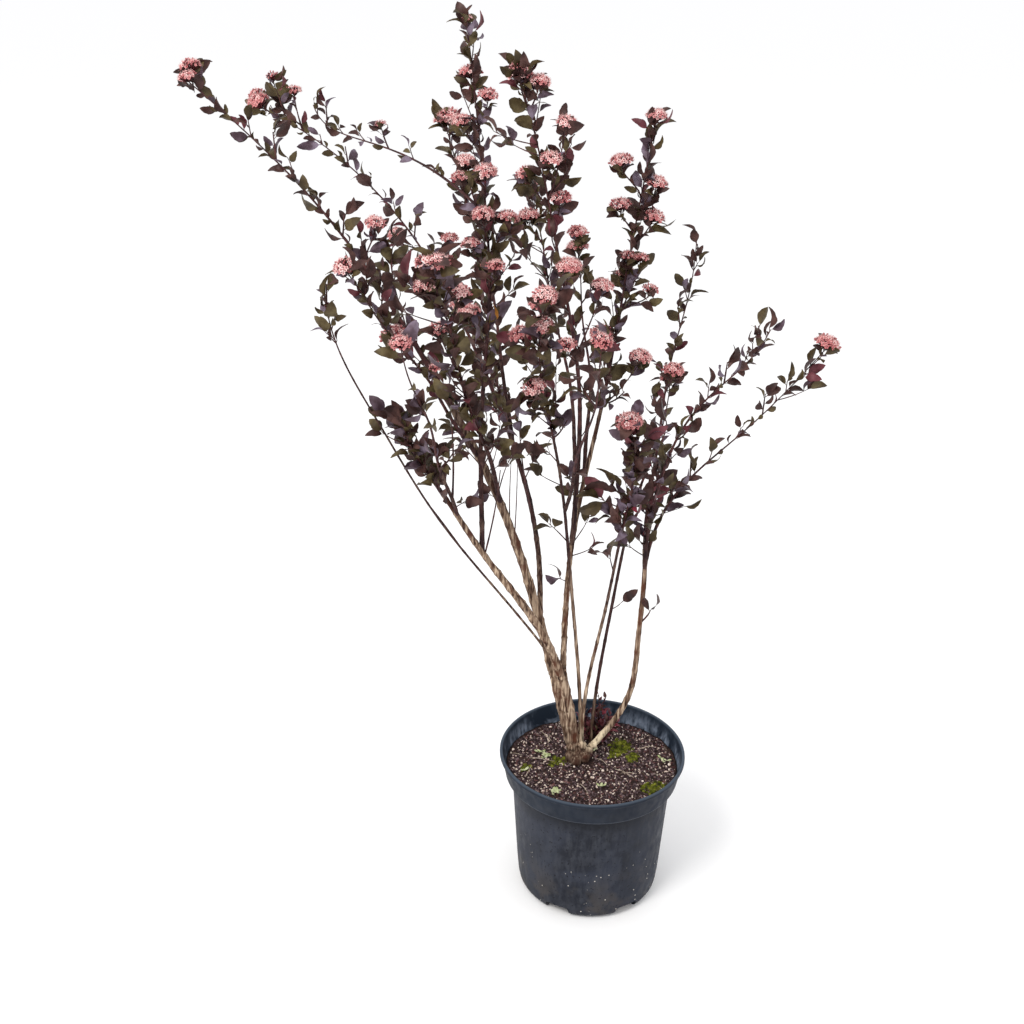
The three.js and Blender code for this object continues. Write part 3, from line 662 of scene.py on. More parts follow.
def grow(shoot, fits):
    random = seeded(shoot["seed"])
    fine = seeded(shoot["seed"] * 3 + 11)
    grown = {"leaves": [], "twigs": [], "heads": []}
    now = {"leafScale": 1, "headScale": 1, "skip": False}

    def addLeaf(base, along, size, draw):
        turned = anyTurn * draw()
        crowded = draw is fine and shoot["crowded"]
        sun = facing(along, turned, 1.2)
        if now["skip"] or not (crowded or fits(leafPlaces(base, along, sun, size))):
            return
        size = size * now["leafScale"]
        tip = base + along * solidLeaf["length"] * size
        if (tip < lowCorner).any() or (tip > highCorner).any():
            return
        grown["leaves"].append((base, along, facing(along, turned), size, fine()))

    def addKind(kind, base, along, turn, draw, share=1):
        # a leaf at an angle round its stem
        addLeaf(base, leaning(along, turn, leafLean[kind]), varied(kind, draw) * share, draw)

    def addHead(tip, direction, size, roomy=False):
        along = unit(direction + up)
        if now["skip"] or not (roomy or fits(headPlaces(tip, along, size))):
            return
        size *= now["headScale"]
        grown["heads"].append((tip, along, size))
        turn = anyTurn * fine()
        for i in range(fineSize["headLeaves"]):
            turn += goldenAngle
            under = fineSize["underHead"] + fineSize["headLeafStep"] * i
            addKind("headLeaf", tip - along * under, along, turn, fine)

    def addSprig(base, along, leaves, reach):
        # the finer twig that one of the solids' leaves stands for
        length = fineSize["sprigReach"] * reach * varied("sprigReach", fine)
        rising = unit(along + fineSize["sprigLift"] * up)
        tip = base + rising * length
        if now["skip"] or not fits([tip]):
            return
        curve = LimbCurve(base, base + along * length / 3, tip - rising * length / 3, tip)
        grown["twigs"].append((curve, *fineSize["sprigThick"]))
        turn = anyTurn * fine()
        addKind("sprigTip", tip, rising, turn, fine)
        for i in range(leaves):
            turn += goldenAngle
            addKind("sprigLeaf", curve.at(0.85 - 0.3 * i), rising, turn, fine)

    def addTwig(base, direction, length, blooms):
        rising = unit(direction + up * twigSize["lift"])
        knee = base + direction * length / 3
        elbow = knee + rising * length / 3
        tip = elbow + rising * length / 3
        curve = LimbCurve(base, knee, elbow, tip)
        if not fits([curve.at(0.25), curve.at(0.6), tip]):
            return
        if not now["skip"]:
            grown["twigs"].append((curve, *twigSize["thick"]))
        turn = anyTurn * random()
        distance = twigSize["firstLeaf"]
        while distance < length:
            turn += goldenAngle
            t = distance / length
            addKind("twigLeaf", curve.at(t), curve.direction(t), turn, random)
            distance += twigSize["leafStep"]
        if blooms:
            addHead(tip, rising, varied("head", random))
        lean = tipLean["underBloom" if blooms else "twig"]
        addLeaf(tip - rising * 2, leaning(rising, turn, lean), twigSize["tipLeaf"], random)
        if not now["skip"]:
            leafTwig(curve, length)

    def leafTwig(curve, length):
        turn = anyTurn * fine()
        distance = 4 + 4 * fine()
        while distance < length - 3:
            turn += goldenAngle
            t = distance / length
            addKind("fineTwigLeaf", curve.at(t), curve.direction(t), turn, fine)
            distance += fineSize["leafStep"] * varied("step", fine)

    def growSpine(spine, length):
        # the twigs, leaves and heads that the solids have too
        curve = spine["curve"]
        turn = anyTurn * random()
        place = 0
        distance = spineSize["footGap"]
        while distance < length - spineSize["tipGap"]:
            t = spine["from"] + (1 - spine["from"]) * distance / length
            base = curve.at(t)
            along = curve.direction(t)
            turn += goldenAngle
            # some shoots are open towards their foot or their tip
            now["skip"] = fine() < (spine["openFoot"] * (1 - distance / length) ** 2
                                    + spine["openTip"] * distance / length)
            if place % spine["twigEvery"] == 0:
                reach = spine["twigLong"] + (spine["twigShort"] - spine["twigLong"]) * t
                blooms = random() < spine["bloomShare"]
                direction = leaning(along, turn, twigSize["spread"])
                addTwig(base, direction, reach * varied("twigReach", random), blooms)
            else:
                addKind("spineLeaf", base, along, turn, random)
                away = leaning(along, turn, fineSize["sprigAway"])
                addSprig(base, away, spine["sprigLeaves"], spine["sprigs"])
            place += 1
            now["skip"] = False
            distance += spine["step"] * varied("step", random)
        tip = curve.at(1)
        along = curve.direction(1)
        now["headScale"] = spine["headScale"] * spine["tipHead"]
        if not spine["leafTip"]:
            addHead(tip, along, varied("head", random))
        lean = tipLean["spine" if spine["leafTip"] else "underHead"]
        addLeaf(tip - along * 2, leaning(along, turn, lean), spineSize["tipLeaf"], random)

    def leafSpine(spine, length):
        # the finer leaves along it
        curve = spine["curve"]
        turn = anyTurn * fine()
        if spine["tipHead"] < 1:
            # a small head at the tip has leaves round it
            tip = curve.at(1)
            along = curve.direction(1)
            for i in range(fineSize["tipLeaves"]):
                turn += goldenAngle
                direction = unit(along + 0.5 * up + 0.45 * sideways(along, turn))
                addLeaf(tip - along * fineSize["tipLeafStep"] * i, direction,
                        varied("headLeaf", fine), fine)
        distance = 4 + 5 * fine()
        while distance < length - 2:
            t = spine["from"] + (1 - spine["from"]) * distance / length
            turn += goldenAngle
            addKind("fineSpineLeaf", curve.at(t), curve.direction(t), turn, fine, 1.18 - 0.4 * t)
            # the foot of a leafy shoot is more open than its end
            share = distance / length
            foot = openness["foot"] + openness["more"] * spine["openFoot"]
            opened = openness["least"] + foot * (1 - share) ** 2
            opened += openness["more"] * spine["openTip"] * share
            distance += spine["fine"] * varied("fineStep", fine) * opened

    for spine in shoot["spines"]:
        now["leafScale"] = spine["leafScale"]
        now["headScale"] = spine["headScale"]
        length = spine["curve"].span() * (1 - spine["from"])
        growSpine(spine, length)
        leafSpine(spine, length)

    now["headScale"] = 1
    for name, t, tip, size in moreBlooms:
        if name == shoot["name"]:
            base = shoot["curve"].at(t)
            along = shoot["curve"].direction(t)
            tip = np.array(tip, float)
            reach = tip - base
            length = math.sqrt(reach @ reach)
            knee = base + unit(along + reach / length) * length / 3
            curve = LimbCurve(base, knee, tip - up * length / 4, tip)
            grown["twigs"].append((curve, *fineSize["bloomThick"]))
            leafTwig(curve, length)
            addHead(tip, unit(reach / length + up), size, True)
    return grown


limbs = layOut()
lowCorner = np.array(cadBox[0]) / millimetre - fineSize["outside"]
highCorner = np.array(cadBox[1]) / millimetre + fineSize["outside"]
shoots = [limb for limb in limbs.values() if limb["spines"]]
for shoot in shoots:
    shoot["lines"] = [trace(spine["curve"], spine["from"], 1) for spine in shoot["spines"]]
bareWood = [(trace(limb["curve"], 0, limb["bare"]), limb["girth"] / 2)
            for limb in limbs.values() if limb["bare"] > 0]
for shoot in shoots:
    shoot["grown"] = grow(shoot, roomFor(shoot, shoots, bareWood))
for kind in ("leaves", "twigs", "heads"):
    print("grown:", sum(len(shoot["grown"][kind]) for shoot in shoots), kind)


# Wisps and sprigs on the bare canes, too small for the solids

wisps = [  # cane, place on it, knee, tip, thickness, leaves, their size
    ("low_left", 0.632, (-186, -70, 677), (-190, -67, 741), 1.5, 0, 1),
    ("far_left", 0.324, (-147, -6, 678), (-150, 4, 699), 0.7, 1, 1),
    ("far_left", 0.304, (-135, 1, 666), (-135, 16, 685), 0.7, 0, 1),
    ("far_left", 0.221, (-120, 6, 597), (-118, 19, 645), 0.9, 0, 1),
    ("far_left", 0.201, (-110, -12, 607), (-110, -20, 661), 0.8, 0, 1),
    ("left_whip", 0.284, (-196, -65, 591), (-215, -71, 622), 0.8, 0, 1),
    ("low_left", 0.696, (-209, -85, 654), (-210, -90, 670), 0.8, 1, 1),
    ("low_left", 0.441, (-136, -51, 607), (-131, -46, 662), 1.2, 0, 1),
    ("front_centre", 0.378, (-56, -3, 557), (-68, -7, 570), 0.9, 4, 1),
    ("right_tall", 0.294, (-19, 32, 510), (-12, 29, 517), 0.9, 3, 1),
    ("right_inner", 0.515, (10, -48, 536), (8, -52, 548), 0.9, 3, 1),
    ("back_inner", 0.291, (29, 38, 425), (33, 36, 432), 0.8, 1, 1),
    ("right_stem", 0.763, (66, -4, 435), (68, -7, 444), 1.4, 2, 1),
    ("right_tall", 0.234, (-46, 25, 471), (-50, 23, 474), 0.8, 2, 1),
    ("low_left", 0.625, (-181, -74, 627), (-176, -77, 631), 0.9, 3, 1),
    ("far_left", 0.264, (-139, -13, 610), (-143, -16, 614), 0.8, 2, 1),
    ("upper_left", 0.308, (-120, 82, 666), (-129, 80, 694), 0.9, 6, 1),
    ("upper_left", 0.258, (-92, 71, 615), (-87, 68, 633), 0.9, 5, 1),
    ("front_centre", 0.656, (-74, -74, 750), (-69, -77, 761), 0.8, 3, 1),
    ("front_centre", 0.595, (-65, -46, 755), (-66, -41, 801), 0.8, 5, 1),
    ("far_left", 0.3, (-140, -14, 649), (-135, -20, 655), 0.8, 2, 1),
    ("front_centre", 0.498, (-70, -26, 640), (-79, -29, 647), 0.8, 2, 1),
    ("upper_left", 0.187, (-104, 65, 613), (-108, 72, 674), 1.3, 4, 1),
    ("tall_right", 0.254, (-19, 18, 697), (-13, 16, 721), 0.8, 3, 1),
    ("tall_right", 0.137, (-40, 26, 613), (-43, 23, 620), 0.8, 3, 1),
    ("right_tall", 0.32, (-20, 45, 540), (-16, 44, 552), 0.8, 4, 1),
    ("right_inner", 0.75, (18, -80, 644), (8, -80, 652), 0.9, 4, 1.5),
    ("right_inner", 0.71, (6, -74, 630), (-6, -74, 636), 0.9, 3, 1.3),
    ("right_inner", 0.66, (14, -66, 604), (8, -66, 610), 0.9, 3, 1.2),
    ("right_middle", 0.41, (78, 9, 604), (92, 9, 614), 0.9, 4, 1.4),
    ("right_middle", 0.27, (84, 3, 584), (104, 3, 592), 0.7, 1, 1),
    ("right_stem", 0.98, (44, -2, 530), (36, -2, 538), 0.9, 3, 1.1),
    ("right_stem", 1.0, (62, -8, 560), (63, -10, 576), 0.9, 4, 1.4),
    ("low_left", 0.99, (-254, -115, 752), (-264, -115, 760), 0.9, 3, 1.2),
    ("low_left", 0.91, (-256, -106, 724), (-268, -106, 734), 0.9, 2, 1.1),
    ("far_right", 0.88, (244, 57, 746), (254, 57, 754), 0.8, 3, 0.9),
    ("far_right", 0.82, (240, 53, 726), (258, 53, 736), 0.8, 3, 0.9),
    ("tall_right", 0.86, (-118, -40, 1058), (-140, -40, 1068), 0.8, 3, 0.9),
    ("tall_right", 0.84, (-110, -38, 1048), (-126, -38, 1058), 0.8, 4, 0.9),
    ("front_centre", 0.64, (-80, -66, 736), (-90, -66, 744), 0.9, 4, 1.1),
    ("front_centre", 0.55, (-66, -37, 676), (-74, -37, 684), 0.9, 4, 1),
    ("right_tall", 0.4, (-32, 48, 580), (-35, 48, 590), 0.9, 5, 1),
    ("far_left", 0.36, (-180, -18, 696), (-190, -18, 704), 0.9, 4, 1),
    ("far_left", 0.31, (-164, -10, 662), (-176, -8, 674), 0.9, 4, 1),
    ("far_left", 0.27, (-128, -4, 640), (-120, -2, 656), 0.9, 4, 1),
    ("front_left", 0.9, (-223, -207, 934), (-227, -207, 947), 0.9, 5, 1),
    ("front_left", 0.785, (-217, -183, 898), (-234, -183, 905), 0.9, 4, 1),
    ("back_middle", 0.68, (-96, 215, 851), (-105, 215, 867), 0.9, 5, 1),
    ("back_middle", 0.77, (-99, 242, 867), (-114, 242, 879), 0.9, 4, 1),
    ("tall_centre", 0.54, (-132, 46, 881), (-122, 46, 898), 0.9, 5, 1),
    ("tall_centre", 0.595, (-137, 56, 912), (-125, 56, 927), 0.9, 4, 1),
    ("tall_centre", 0.5, (-130, 38, 852), (-119, 38, 865), 0.9, 4, 1),
    ("front_left", 0.495, (-179, -124, 793), (-193, -124, 800), 0.9, 4, 1.1),
    ("tall_centre", 0.175, (-134, -32, 696), (-132, -32, 716), 0.9, 3, 0.9),
    ("front_centre", 0.705, (-99, -90, 777), (-108, -90, 768), 0.9, 3, 1),
    ("low_left", 0.93, (-201, -108, 711), (-184, -108, 714), 0.9, 4, 1),
    ("far_left", 0.545, (-259, -29, 889), (-261, -29, 921), 0.9, 6, 1.1),
    ("far_left", 0.575, (-262, -30, 917), (-256, -30, 943), 0.9, 6, 1.1),
    ("far_left", 0.595, (-281, -31, 889), (-282, -31, 910), 0.9, 4, 1.1),
]
clump = {  # the low crimson tuft on the mix
    "foot": (10, 62, 188), "stems": 24, "height": 44, "spread": 27, "step": 3.0, "leaf": 0.31,
    "thick": (0.7, 0.4),
}


def growWisps():
    draw = seeded(451)
    grown = {"leaves": [], "twigs": []}
    for cane, at, knee, tip, thick, leaves, large in wisps:
        knee = np.array(knee, float)
        tip = np.array(tip, float)
        curve = LimbCurve(limbs[cane]["curve"].at(at), knee, (knee + tip) / 2, tip)
        grown["twigs"].append((curve, thick, thick * 0.5))
        rising = curve.direction(1)
        turn = anyTurn * draw()
        for i in range(leaves):
            turn += goldenAngle
            along = leaning(rising, turn, 0.3 + 0.35 * i)
            face = facing(along, anyTurn * draw())
            size = large * varied("wispLeaf", draw)
            grown["leaves"].append((curve.at(1 - 0.12 * i), along, face, size, draw()))
    return grown


def growClump():
    # many thin stems with small leaves rise from one foot
    draw = seeded(977)
    grown = {"leaves": [], "twigs": []}
    foot = np.array(clump["foot"], float)
    for i in range(clump["stems"]):
        turn = i * goldenAngle
        lean = clump["spread"] * math.sqrt((i + 0.5) / clump["stems"])
        out = np.array((math.cos(turn), math.sin(turn), 0)) * lean
        height = up * clump["height"] * (1.05 - 0.4 * i / clump["stems"])
        height = height * varied("clumpHeight", draw)
        curve = LimbCurve(foot + out * 0.2, foot + out * 0.5 + height * 0.35,
                          foot + out * 0.9 + height * 0.7, foot + out * (1 + 0.2 * draw()) + height)
        grown["twigs"].append((curve, *clump["thick"]))
        distance = 6
        while distance < curve.span():
            t = distance / curve.span()
            along = leaning(curve.direction(t), distance * goldenAngle, 0.9)
            face = facing(along, anyTurn * draw())
            size = clump["leaf"] * varied("clumpLeaf", draw)
            grown["leaves"].append((curve.at(t), along, face, size, draw()))
            distance += clump["step"] * varied("step", draw)
    return grown


wispGrowth = growWisps()
clumpGrowth = growClump()
print("wisps and clump:", len(wispGrowth["leaves"]) + len(clumpGrowth["leaves"]), "leaves")


# Wood: tubes with stringy bark, swollen where buds sit

barkSize = {"limbStep": 3.2, "limbSides": 16, "spineStep": 6, "spineSides": 8, "spineRidge": 0.06,
            "spineEnd": 0.65, "twigStep": 7, "twigSides": 5, "budEvery": 27, "budSwell": 0.16,
            "budReach": 2.4, "ridge": 0.16, "thickGirth": 8.5}
jointSize = {"swell": 0.4, "mixSwell": 0.25, "least": -0.15, "most": 0.92, "reach": 9, "blend": 60,
             "fused": 100, "crownFused": 55}


def limbRings(curve, start, end, radiusOf, sides, step, ridge, seed):
    # rings round a limb, their frame carried along it without twist
    length = curve.span() * (end - start)
    count = max(2, round(length / step))
    across = None
    rings = []
    for r in range(count + 1):
        share = r / count
        t = start + (end - start) * share
        middle = curve.at(t)
        along = curve.direction(t)
        across = sideways(along, 0) if across is None else unit(across - along * (across @ along))
        other = cross(along, across)
        s = share * length
        bud = s % barkSize["budEvery"] - barkSize["budEvery"] / 2
        swell = barkSize["budSwell"] * math.exp(-(bud / barkSize["budReach"]) ** 2)
        radius = radiusOf(t, s) * (1 + swell)
        ring = []
        for x, y in circle(sides):
            relief = 1 + ridge * rough(x * 2.2 + seed, y * 2.2, s / 26)
            relief += ridge * 0.5 * rough(x * 4.6, y * 4.6 + seed, s / 9)
            ring.append(middle + (across * x + other * y) * radius * relief)
        rings.append(ring)
    return rings


def caneRadius(limb, t):
    # slim canes show thinner than their solids
    start = limb["girth"] / 2
    return (start + (limb["endRadius"] - start) * t) * limb["slim"]


def jointSwell(limb):
    # a branch swells where it leaves its parent, but never past the parent's own surface
    child = caneRadius(limb, 0)
    if limb["on"] == "mix":
        return jointSize["mixSwell"] * child
    if limb["on"] in ("trunk", "crown"):
        return jointSize["swell"] * child if limb["on"] == "crown" else 0
    parent = caneRadius(limbs[limb["on"]], limb["at"])
    most = min(jointSize["swell"] * child, jointSize["most"] * parent - child)
    return max(jointSize["least"] * child, most)


def caneRings(limb, end, fused=False):
    swell = jointSwell(limb)

    def radiusOf(t, s):
        radius = caneRadius(limb, t) + swell * math.exp(-s / jointSize["reach"])
        if limb["on"] != "trunk":
            return radius
        if fused:
            return radius * (1.06 - 0.4 * s / jointSize["fused"])
        return radius * (0.8 + 0.2 * min(1, s / jointSize["blend"]))

    ridge = barkSize["ridge"] * min(1, limb["girth"] / 9)
    return limbRings(limb["curve"], 0, end, radiusOf, barkSize["limbSides"], barkSize["limbStep"],
                     ridge, limb["girth"])


def makeCanes(name, chosen):
    wood = Gathered()
    for limb in chosen:
        wood.addTube(caneRings(limb, min(1, limb["bare"] + 0.01)))
    return wood.mesh(name)


def addTwigs(wood, twigs, seed):
    for curve, thick, thin in twigs:
        wood.addTube(limbRings(curve, 0, 1, lambda t, s: thick + (thin - thick) * t,
                               barkSize["twigSides"], barkSize["twigStep"], 0, seed))


def spineRings(spine, seed):
    # the leafy end of a cane thins faster than the bare part
    thin = barkSize["spineEnd"]
    more = caneRadius(spine, spine["from"]) - thin

    def radiusOf(t, s):
        share = (t - spine["from"]) / (1 - spine["from"])
        return thin + more * (1 - share) ** spine["thinning"]

    return limbRings(spine["curve"], spine["from"], 1, radiusOf, barkSize["spineSides"],
                     barkSize["spineStep"], barkSize["spineRidge"], seed)


def makeShootWood():
    wood = Gathered()
    for index, shoot in enumerate(shoots):
        for spine in shoot["spines"]:
            wood.addTube(spineRings(spine, index))
        addTwigs(wood, shoot["grown"]["twigs"], index)
    addTwigs(wood, wispGrowth["twigs"] + clumpGrowth["twigs"], 0)
    return wood.mesh("shoot_wood")


trunkSize = {
    "voxel": 1.1, "knobbly": 222, "footDepth": 2.5, "strip": 0.8, "fibre": 0.35, "stemSides": 20,
    "stemStep": 3, "stemRidge": 0.12, "crownSides": 30, "burlSides": 12, "burlRings": 9,
    # share of the crown's height, share of its radius
    "flare": ((0, 0.98), (0.12, 1.08), (0.3, 1.08), (0.48, 0.92), (0.66, 0.7), (0.84, 0.5),
              (1, 0.3)),
    # x, y, z, radius
    "burls": ((-22, -1, 199, 8), (-31, 5, 202, 7), (-10, 2, 203, 8), (-4, 6, 214, 6.5),
              (-14, 4, 222, 6), (-29, 7, 215, 5), (4, 6, 221, 4.5), (-25, 24, 202, 9)),
}


def crownRings():
    # the lumpy root crown that the stems rise from
    foot = mixSize["level"] - trunkSize["footDepth"]
    rings = []
    for height, share in trunkSize["flare"]:
        ring = []
        for i, (x, y) in enumerate(circle(trunkSize["crownSides"])):
            angle = 2 * math.pi * i / trunkSize["crownSides"]
            lump = 1 + 0.2 * rough(1.8 * x, 1.8 * y, 2.4 * height)
            lump += 0.1 * math.cos(5 * angle + 1 + 2 * height) * (1 - height)
            radius = crownSize["radius"] * share * lump
            ring.append((crownSize["x"] + radius * x, crownSize["y"] + radius * y,
                         foot + height * crownSize["height"]))
        rings.append(ring)
    return rings


def burlRings(x, y, z, radius):
    # a knob on the root crown
    count = trunkSize["burlRings"]
    rings = []
    for r in range(count):
        lean = math.pi * (r + 0.5) / count
        out = radius * math.sin(lean)
        rings.append([(x + out * c, y + out * s, z - radius * math.cos(lean))
                      for c, s in circle(trunkSize["burlSides"])])
    return rings


def grained(mesh):
    # strips and fibres of bark, and knobs low down, pushed out of a smooth surface
    places = np.empty(len(mesh.vertices) * 3)
    normals = np.empty(len(mesh.vertices) * 3)
    mesh.vertices.foreach_get("co", places)
    mesh.vertices.foreach_get("normal", normals)
    places = places.reshape(-1, 3)
    normals = normals.reshape(-1, 3)
    for i, (x, y, z) in enumerate(places / millimetre):
        strip = abs(rough(x / 3.2, y / 3.2, z / 40))
        fibre = rough(x / 1.3, y / 1.3, z / 12)
        relief = trunkSize["strip"] * (0.45 - 2.2 * strip) + trunkSize["fibre"] * fibre
        if z < trunkSize["knobbly"]:
            relief += 1.5 * rough(x / 5, y / 5, z / 5) - 1.2 * abs(rough(x / 2.5, y / 2.5, z / 2.5))
        places[i] += normals[i] * millimetre * relief
    mesh.vertices.foreach_set("co", places.ravel())
    return smoothed(mesh)


def makeTrunk():
    # stems, root crown and the feet of the canes that spring from them, fused into one
    wood = Gathered()
    for index, stem in enumerate(trunkStems):
        curve = LimbCurve(stem["foot"], stem["knee"], stem["elbow"], stem["tip"])
        thick = stem["footRadius"]
        more = stem["tipRadius"] - thick
        wood.addTube(limbRings(curve, 0.05, 1, lambda t, s: thick + more * t,
                               trunkSize["stemSides"], trunkSize["stemStep"],
                               trunkSize["stemRidge"], 5 * index))
    wood.addTube(crownRings())
    for burl in trunkSize["burls"]:
        wood.addTube(burlRings(*burl))
    for limb in limbs.values():
        if limb["on"] == "crown":
            wood.addTube(caneRings(limb, jointSize["crownFused"] / limb["curve"].span()))
        if limb["on"] == "trunk":
            wood.addTube(caneRings(limb, jointSize["fused"] / limb["curve"].span(), True))
    source = pieceOf(wood.mesh("trunkRough"))
    remesh = source.modifiers.new("fuse", "REMESH")
    remesh.mode = "VOXEL"
    remesh.voxel_size = trunkSize["voxel"] * millimetre
    return grained(evaluated(source, "trunk_bark"))


def barkFinish(name, youngFrom, youngTo):
    # tan and stringy low down, dark maroon on the young wood above
    bark = Finish(name, 0.85, 0.18)
    fibre = bark.noise(330, 5, stretch=(1, 1, 0.1))
    patch = bark.noise(80, stretch=(1, 1, 0.35))
    colour = bark.ramp(fibre, [(0.34, (0.022, 0.011, 0.008)), (0.44, (0.1, 0.056, 0.036)),
                               (0.54, (0.24, 0.16, 0.11)), (0.66, (0.55, 0.42, 0.3))])
    colour = bark.mix(bark.grey(patch, 0.54, 0.66), colour, (0.1, 0.035, 0.018))
    dry = bark.less(1, bark.grey(patch, 0.34, 0.44))
    colour = bark.coat(colour, dry, 0.6, (0.42, 0.31, 0.22))
    young = bark.ramp(fibre, [(0.35, (0.016, 0.007, 0.008)), (0.62, (0.06, 0.027, 0.025))])
    age = bark.less(bark.height(youngFrom, youngTo), bark.times(bark.less(0.5, patch), 0.9))
    colour = bark.mix(age, colour, young)
    dirt = bark.less(1, bark.height(0.2, 0.222))
    colour = bark.coat(colour, dirt, 0.8, (0.045, 0.02, 0.014))
    # a patch of bare cream wood low down
    raw = bark.times(bark.near((0.004, 0.004, 0.236), 0.01, 0.026), bark.grey(fibre, 0.3, 0.5))
    bark.set("Base Color", bark.mix(raw, colour, (0.72, 0.6, 0.42)))
    bark.bump(fibre, 0.8, 0.001)
    return bark.material


def makeWood():
    bare = [limb for limb in limbs.values() if limb["bare"] > 0]
    thick = [limb for limb in bare if limb["girth"] > barkSize["thickGirth"]]
    young = [limb for limb in bare if limb["name"] == "back_inner"]
    thin = [limb for limb in bare if limb not in thick and limb not in young]
    settle(pieceOf(makeTrunk(), barkFinish("trunkBark", 0.6, 0.9)), "bark", "trunk")
    for name, group, youngFrom, youngTo in (
            ("cane_bark", thick, 0.5, 0.85), ("thin_cane_bark", thin, 0.32, 0.56),
            ("young_cane_bark", young, 0.19, 0.3)):
        finish = barkFinish(name + "Finish", youngFrom, youngTo)
        settle(pieceOf(makeCanes(name, group), finish), "bark",
               *["cane_" + limb["name"] for limb in group])
    maroon = [(0.022, 0.008, 0.009), (0.055, 0.019, 0.02), (0.1, 0.036, 0.032)]
    settle(pieceOf(makeShootWood(), speckled("youngBark", maroon, 90, 0.6, 0.2, 0.3)), "bark",
           *["shoot_" + shoot["name"] for shoot in shoots])


makeWood()


# Leaves: ovate with three shallow lobes, folded along the midrib

leafSize = {"length": 33.0, "thickness": 0.45, "petiole": 0.15, "petioleThickness": 1.1,
            "arch": 0.12, "wave": 0.02}
leafOutline = [  # share of the length, half width as a share of the length
    (0.0, 0.018), (leafSize["petiole"], 0.022), (0.22, 0.12), (0.33, 0.205), (0.45, 0.25),
    (0.56, 0.258), (0.65, 0.215), (0.78, 0.19), (0.91, 0.11), (1.0, 0.01),
]
leafShapes = [  # fold of the sides, droop of the tip, sideways bend, width
    {"fold": 0.3, "droop": 0.10, "bend": 0.02, "width": 1.06},
    {"fold": 0.55, "droop": -0.06, "bend": -0.03, "width": 0.95},
    {"fold": 0.12, "droop": 0.2, "bend": 0.05, "width": 1.14},
    {"fold": 0.42, "droop": 0.3, "bend": -0.05, "width": 0.86},
]


def leafMesh(index, shape):
    blade = Gathered()
    length = leafSize["length"]
    rows = []
    for x, half in leafOutline:
        past = max(0, x - leafSize["petiole"]) / (1 - leafSize["petiole"])
        rise = leafSize["arch"] * math.sin(math.pi * past) - shape["droop"] * past * past
        y = shape["bend"] * past * past
        wave = leafSize["wave"] * math.sin(11 * x + index)
        side = half * shape["width"]
        edge = rise + side * shape["fold"]
        thick = leafSize["thickness"] if past > 0 else leafSize["petioleThickness"]
        rows.append(((x * length, (y - side) * length, (edge + wave) * length),
                     (x * length, y * length, rise * length + thick / 2),
                     (x * length, (y + side) * length, (edge - wave) * length),
                     (x * length, y * length, rise * length - thick / 2)))
    blade.addTube(rows, flip=True)
    return blade.mesh(f"leaf{index}", 38)


leafTints = {
    "purple_brown": [(0.025, 0.01, 0.009), (0.055, 0.024, 0.021), (0.105, 0.05, 0.042)],
    "olive_bronze": [(0.03, 0.019, 0.008), (0.062, 0.042, 0.018), (0.115, 0.086, 0.038)],
    # plum leaves: a real leaf colour, with its palest tone partly a painted sheen
    "plum": [(0.042, 0.022, 0.029), (0.09, 0.058, 0.076), (0.2, 0.155, 0.205)],
    "wine": [(0.058, 0.012, 0.016), (0.11, 0.026, 0.034), (0.17, 0.05, 0.06)],
    "crimson": [(0.13, 0.014, 0.024), (0.22, 0.03, 0.048), (0.36, 0.08, 0.11)],
    "amber": [(0.26, 0.1, 0.02), (0.38, 0.17, 0.03)],
}
tintShares = {  # of the leaves of a shoot, in the order of the tints
    "right_middle": (0.27, 0.12, 0.37, 0.2, 0.04, 0), "basal": (0.22, 0.02, 0.04, 0.66, 0.06, 0),
    "clump": (0.25, 0.02, 0.04, 0.63, 0.06, 0), "right_inner": (0.37, 0.21, 0.3, 0.11, 0.01, 0),
    "low_left": (0.38, 0.4, 0.18, 0.04, 0, 0), "tall_centre": (0.43, 0.35, 0.18, 0.033, 0, 0.007),
    "wisps": (0.42, 0.36, 0.17, 0.05, 0, 0), "others": (0.42, 0.39, 0.14, 0.045, 0.005, 0),
}


def tintOf(draw, shares):
    total = 0
    for name, share in zip(leafTints, shares):
        total += share
        if draw <= total:
            return name
    return "purple_brown"


def makeLeaves():
    shapes = shapeShelf("leafShapes", *[leafMesh(i, shape) for i, shape in enumerate(leafShapes)])
    sprays = {name: [] for name in leafTints}
    groups = {shoot["name"]: shoot["grown"]["leaves"] for shoot in shoots}
    groups.update(wisps=wispGrowth["leaves"], clump=clumpGrowth["leaves"])
    for group, leaves in groups.items():
        shares = tintShares.get(group, tintShares["others"])
        for base, along, face, size, pick in leaves:
            # one random number per leaf picks its stretch, width, shape and tint
            stretch = size * (0.98 + 0.14 * pick)
            width = stretch * (0.7 + 0.36 * ((pick * 31) % 1))
            row = (base, along, face, (stretch, width, stretch), int(pick * 97) % len(leafShapes))
            sprays[tintOf((pick * 7.3) % 1, shares)].append(row)
    for name, rows in sprays.items():
        finish = speckled("leaf_" + name, leafTints[name], 55, 0.48, 0.2, 0.35)
        settle(growPiece("leaves_" + name, rows, shapes, finish), "foliage")


makeLeaves()


# Flower heads: domes of small five-petalled flowers with long stamens

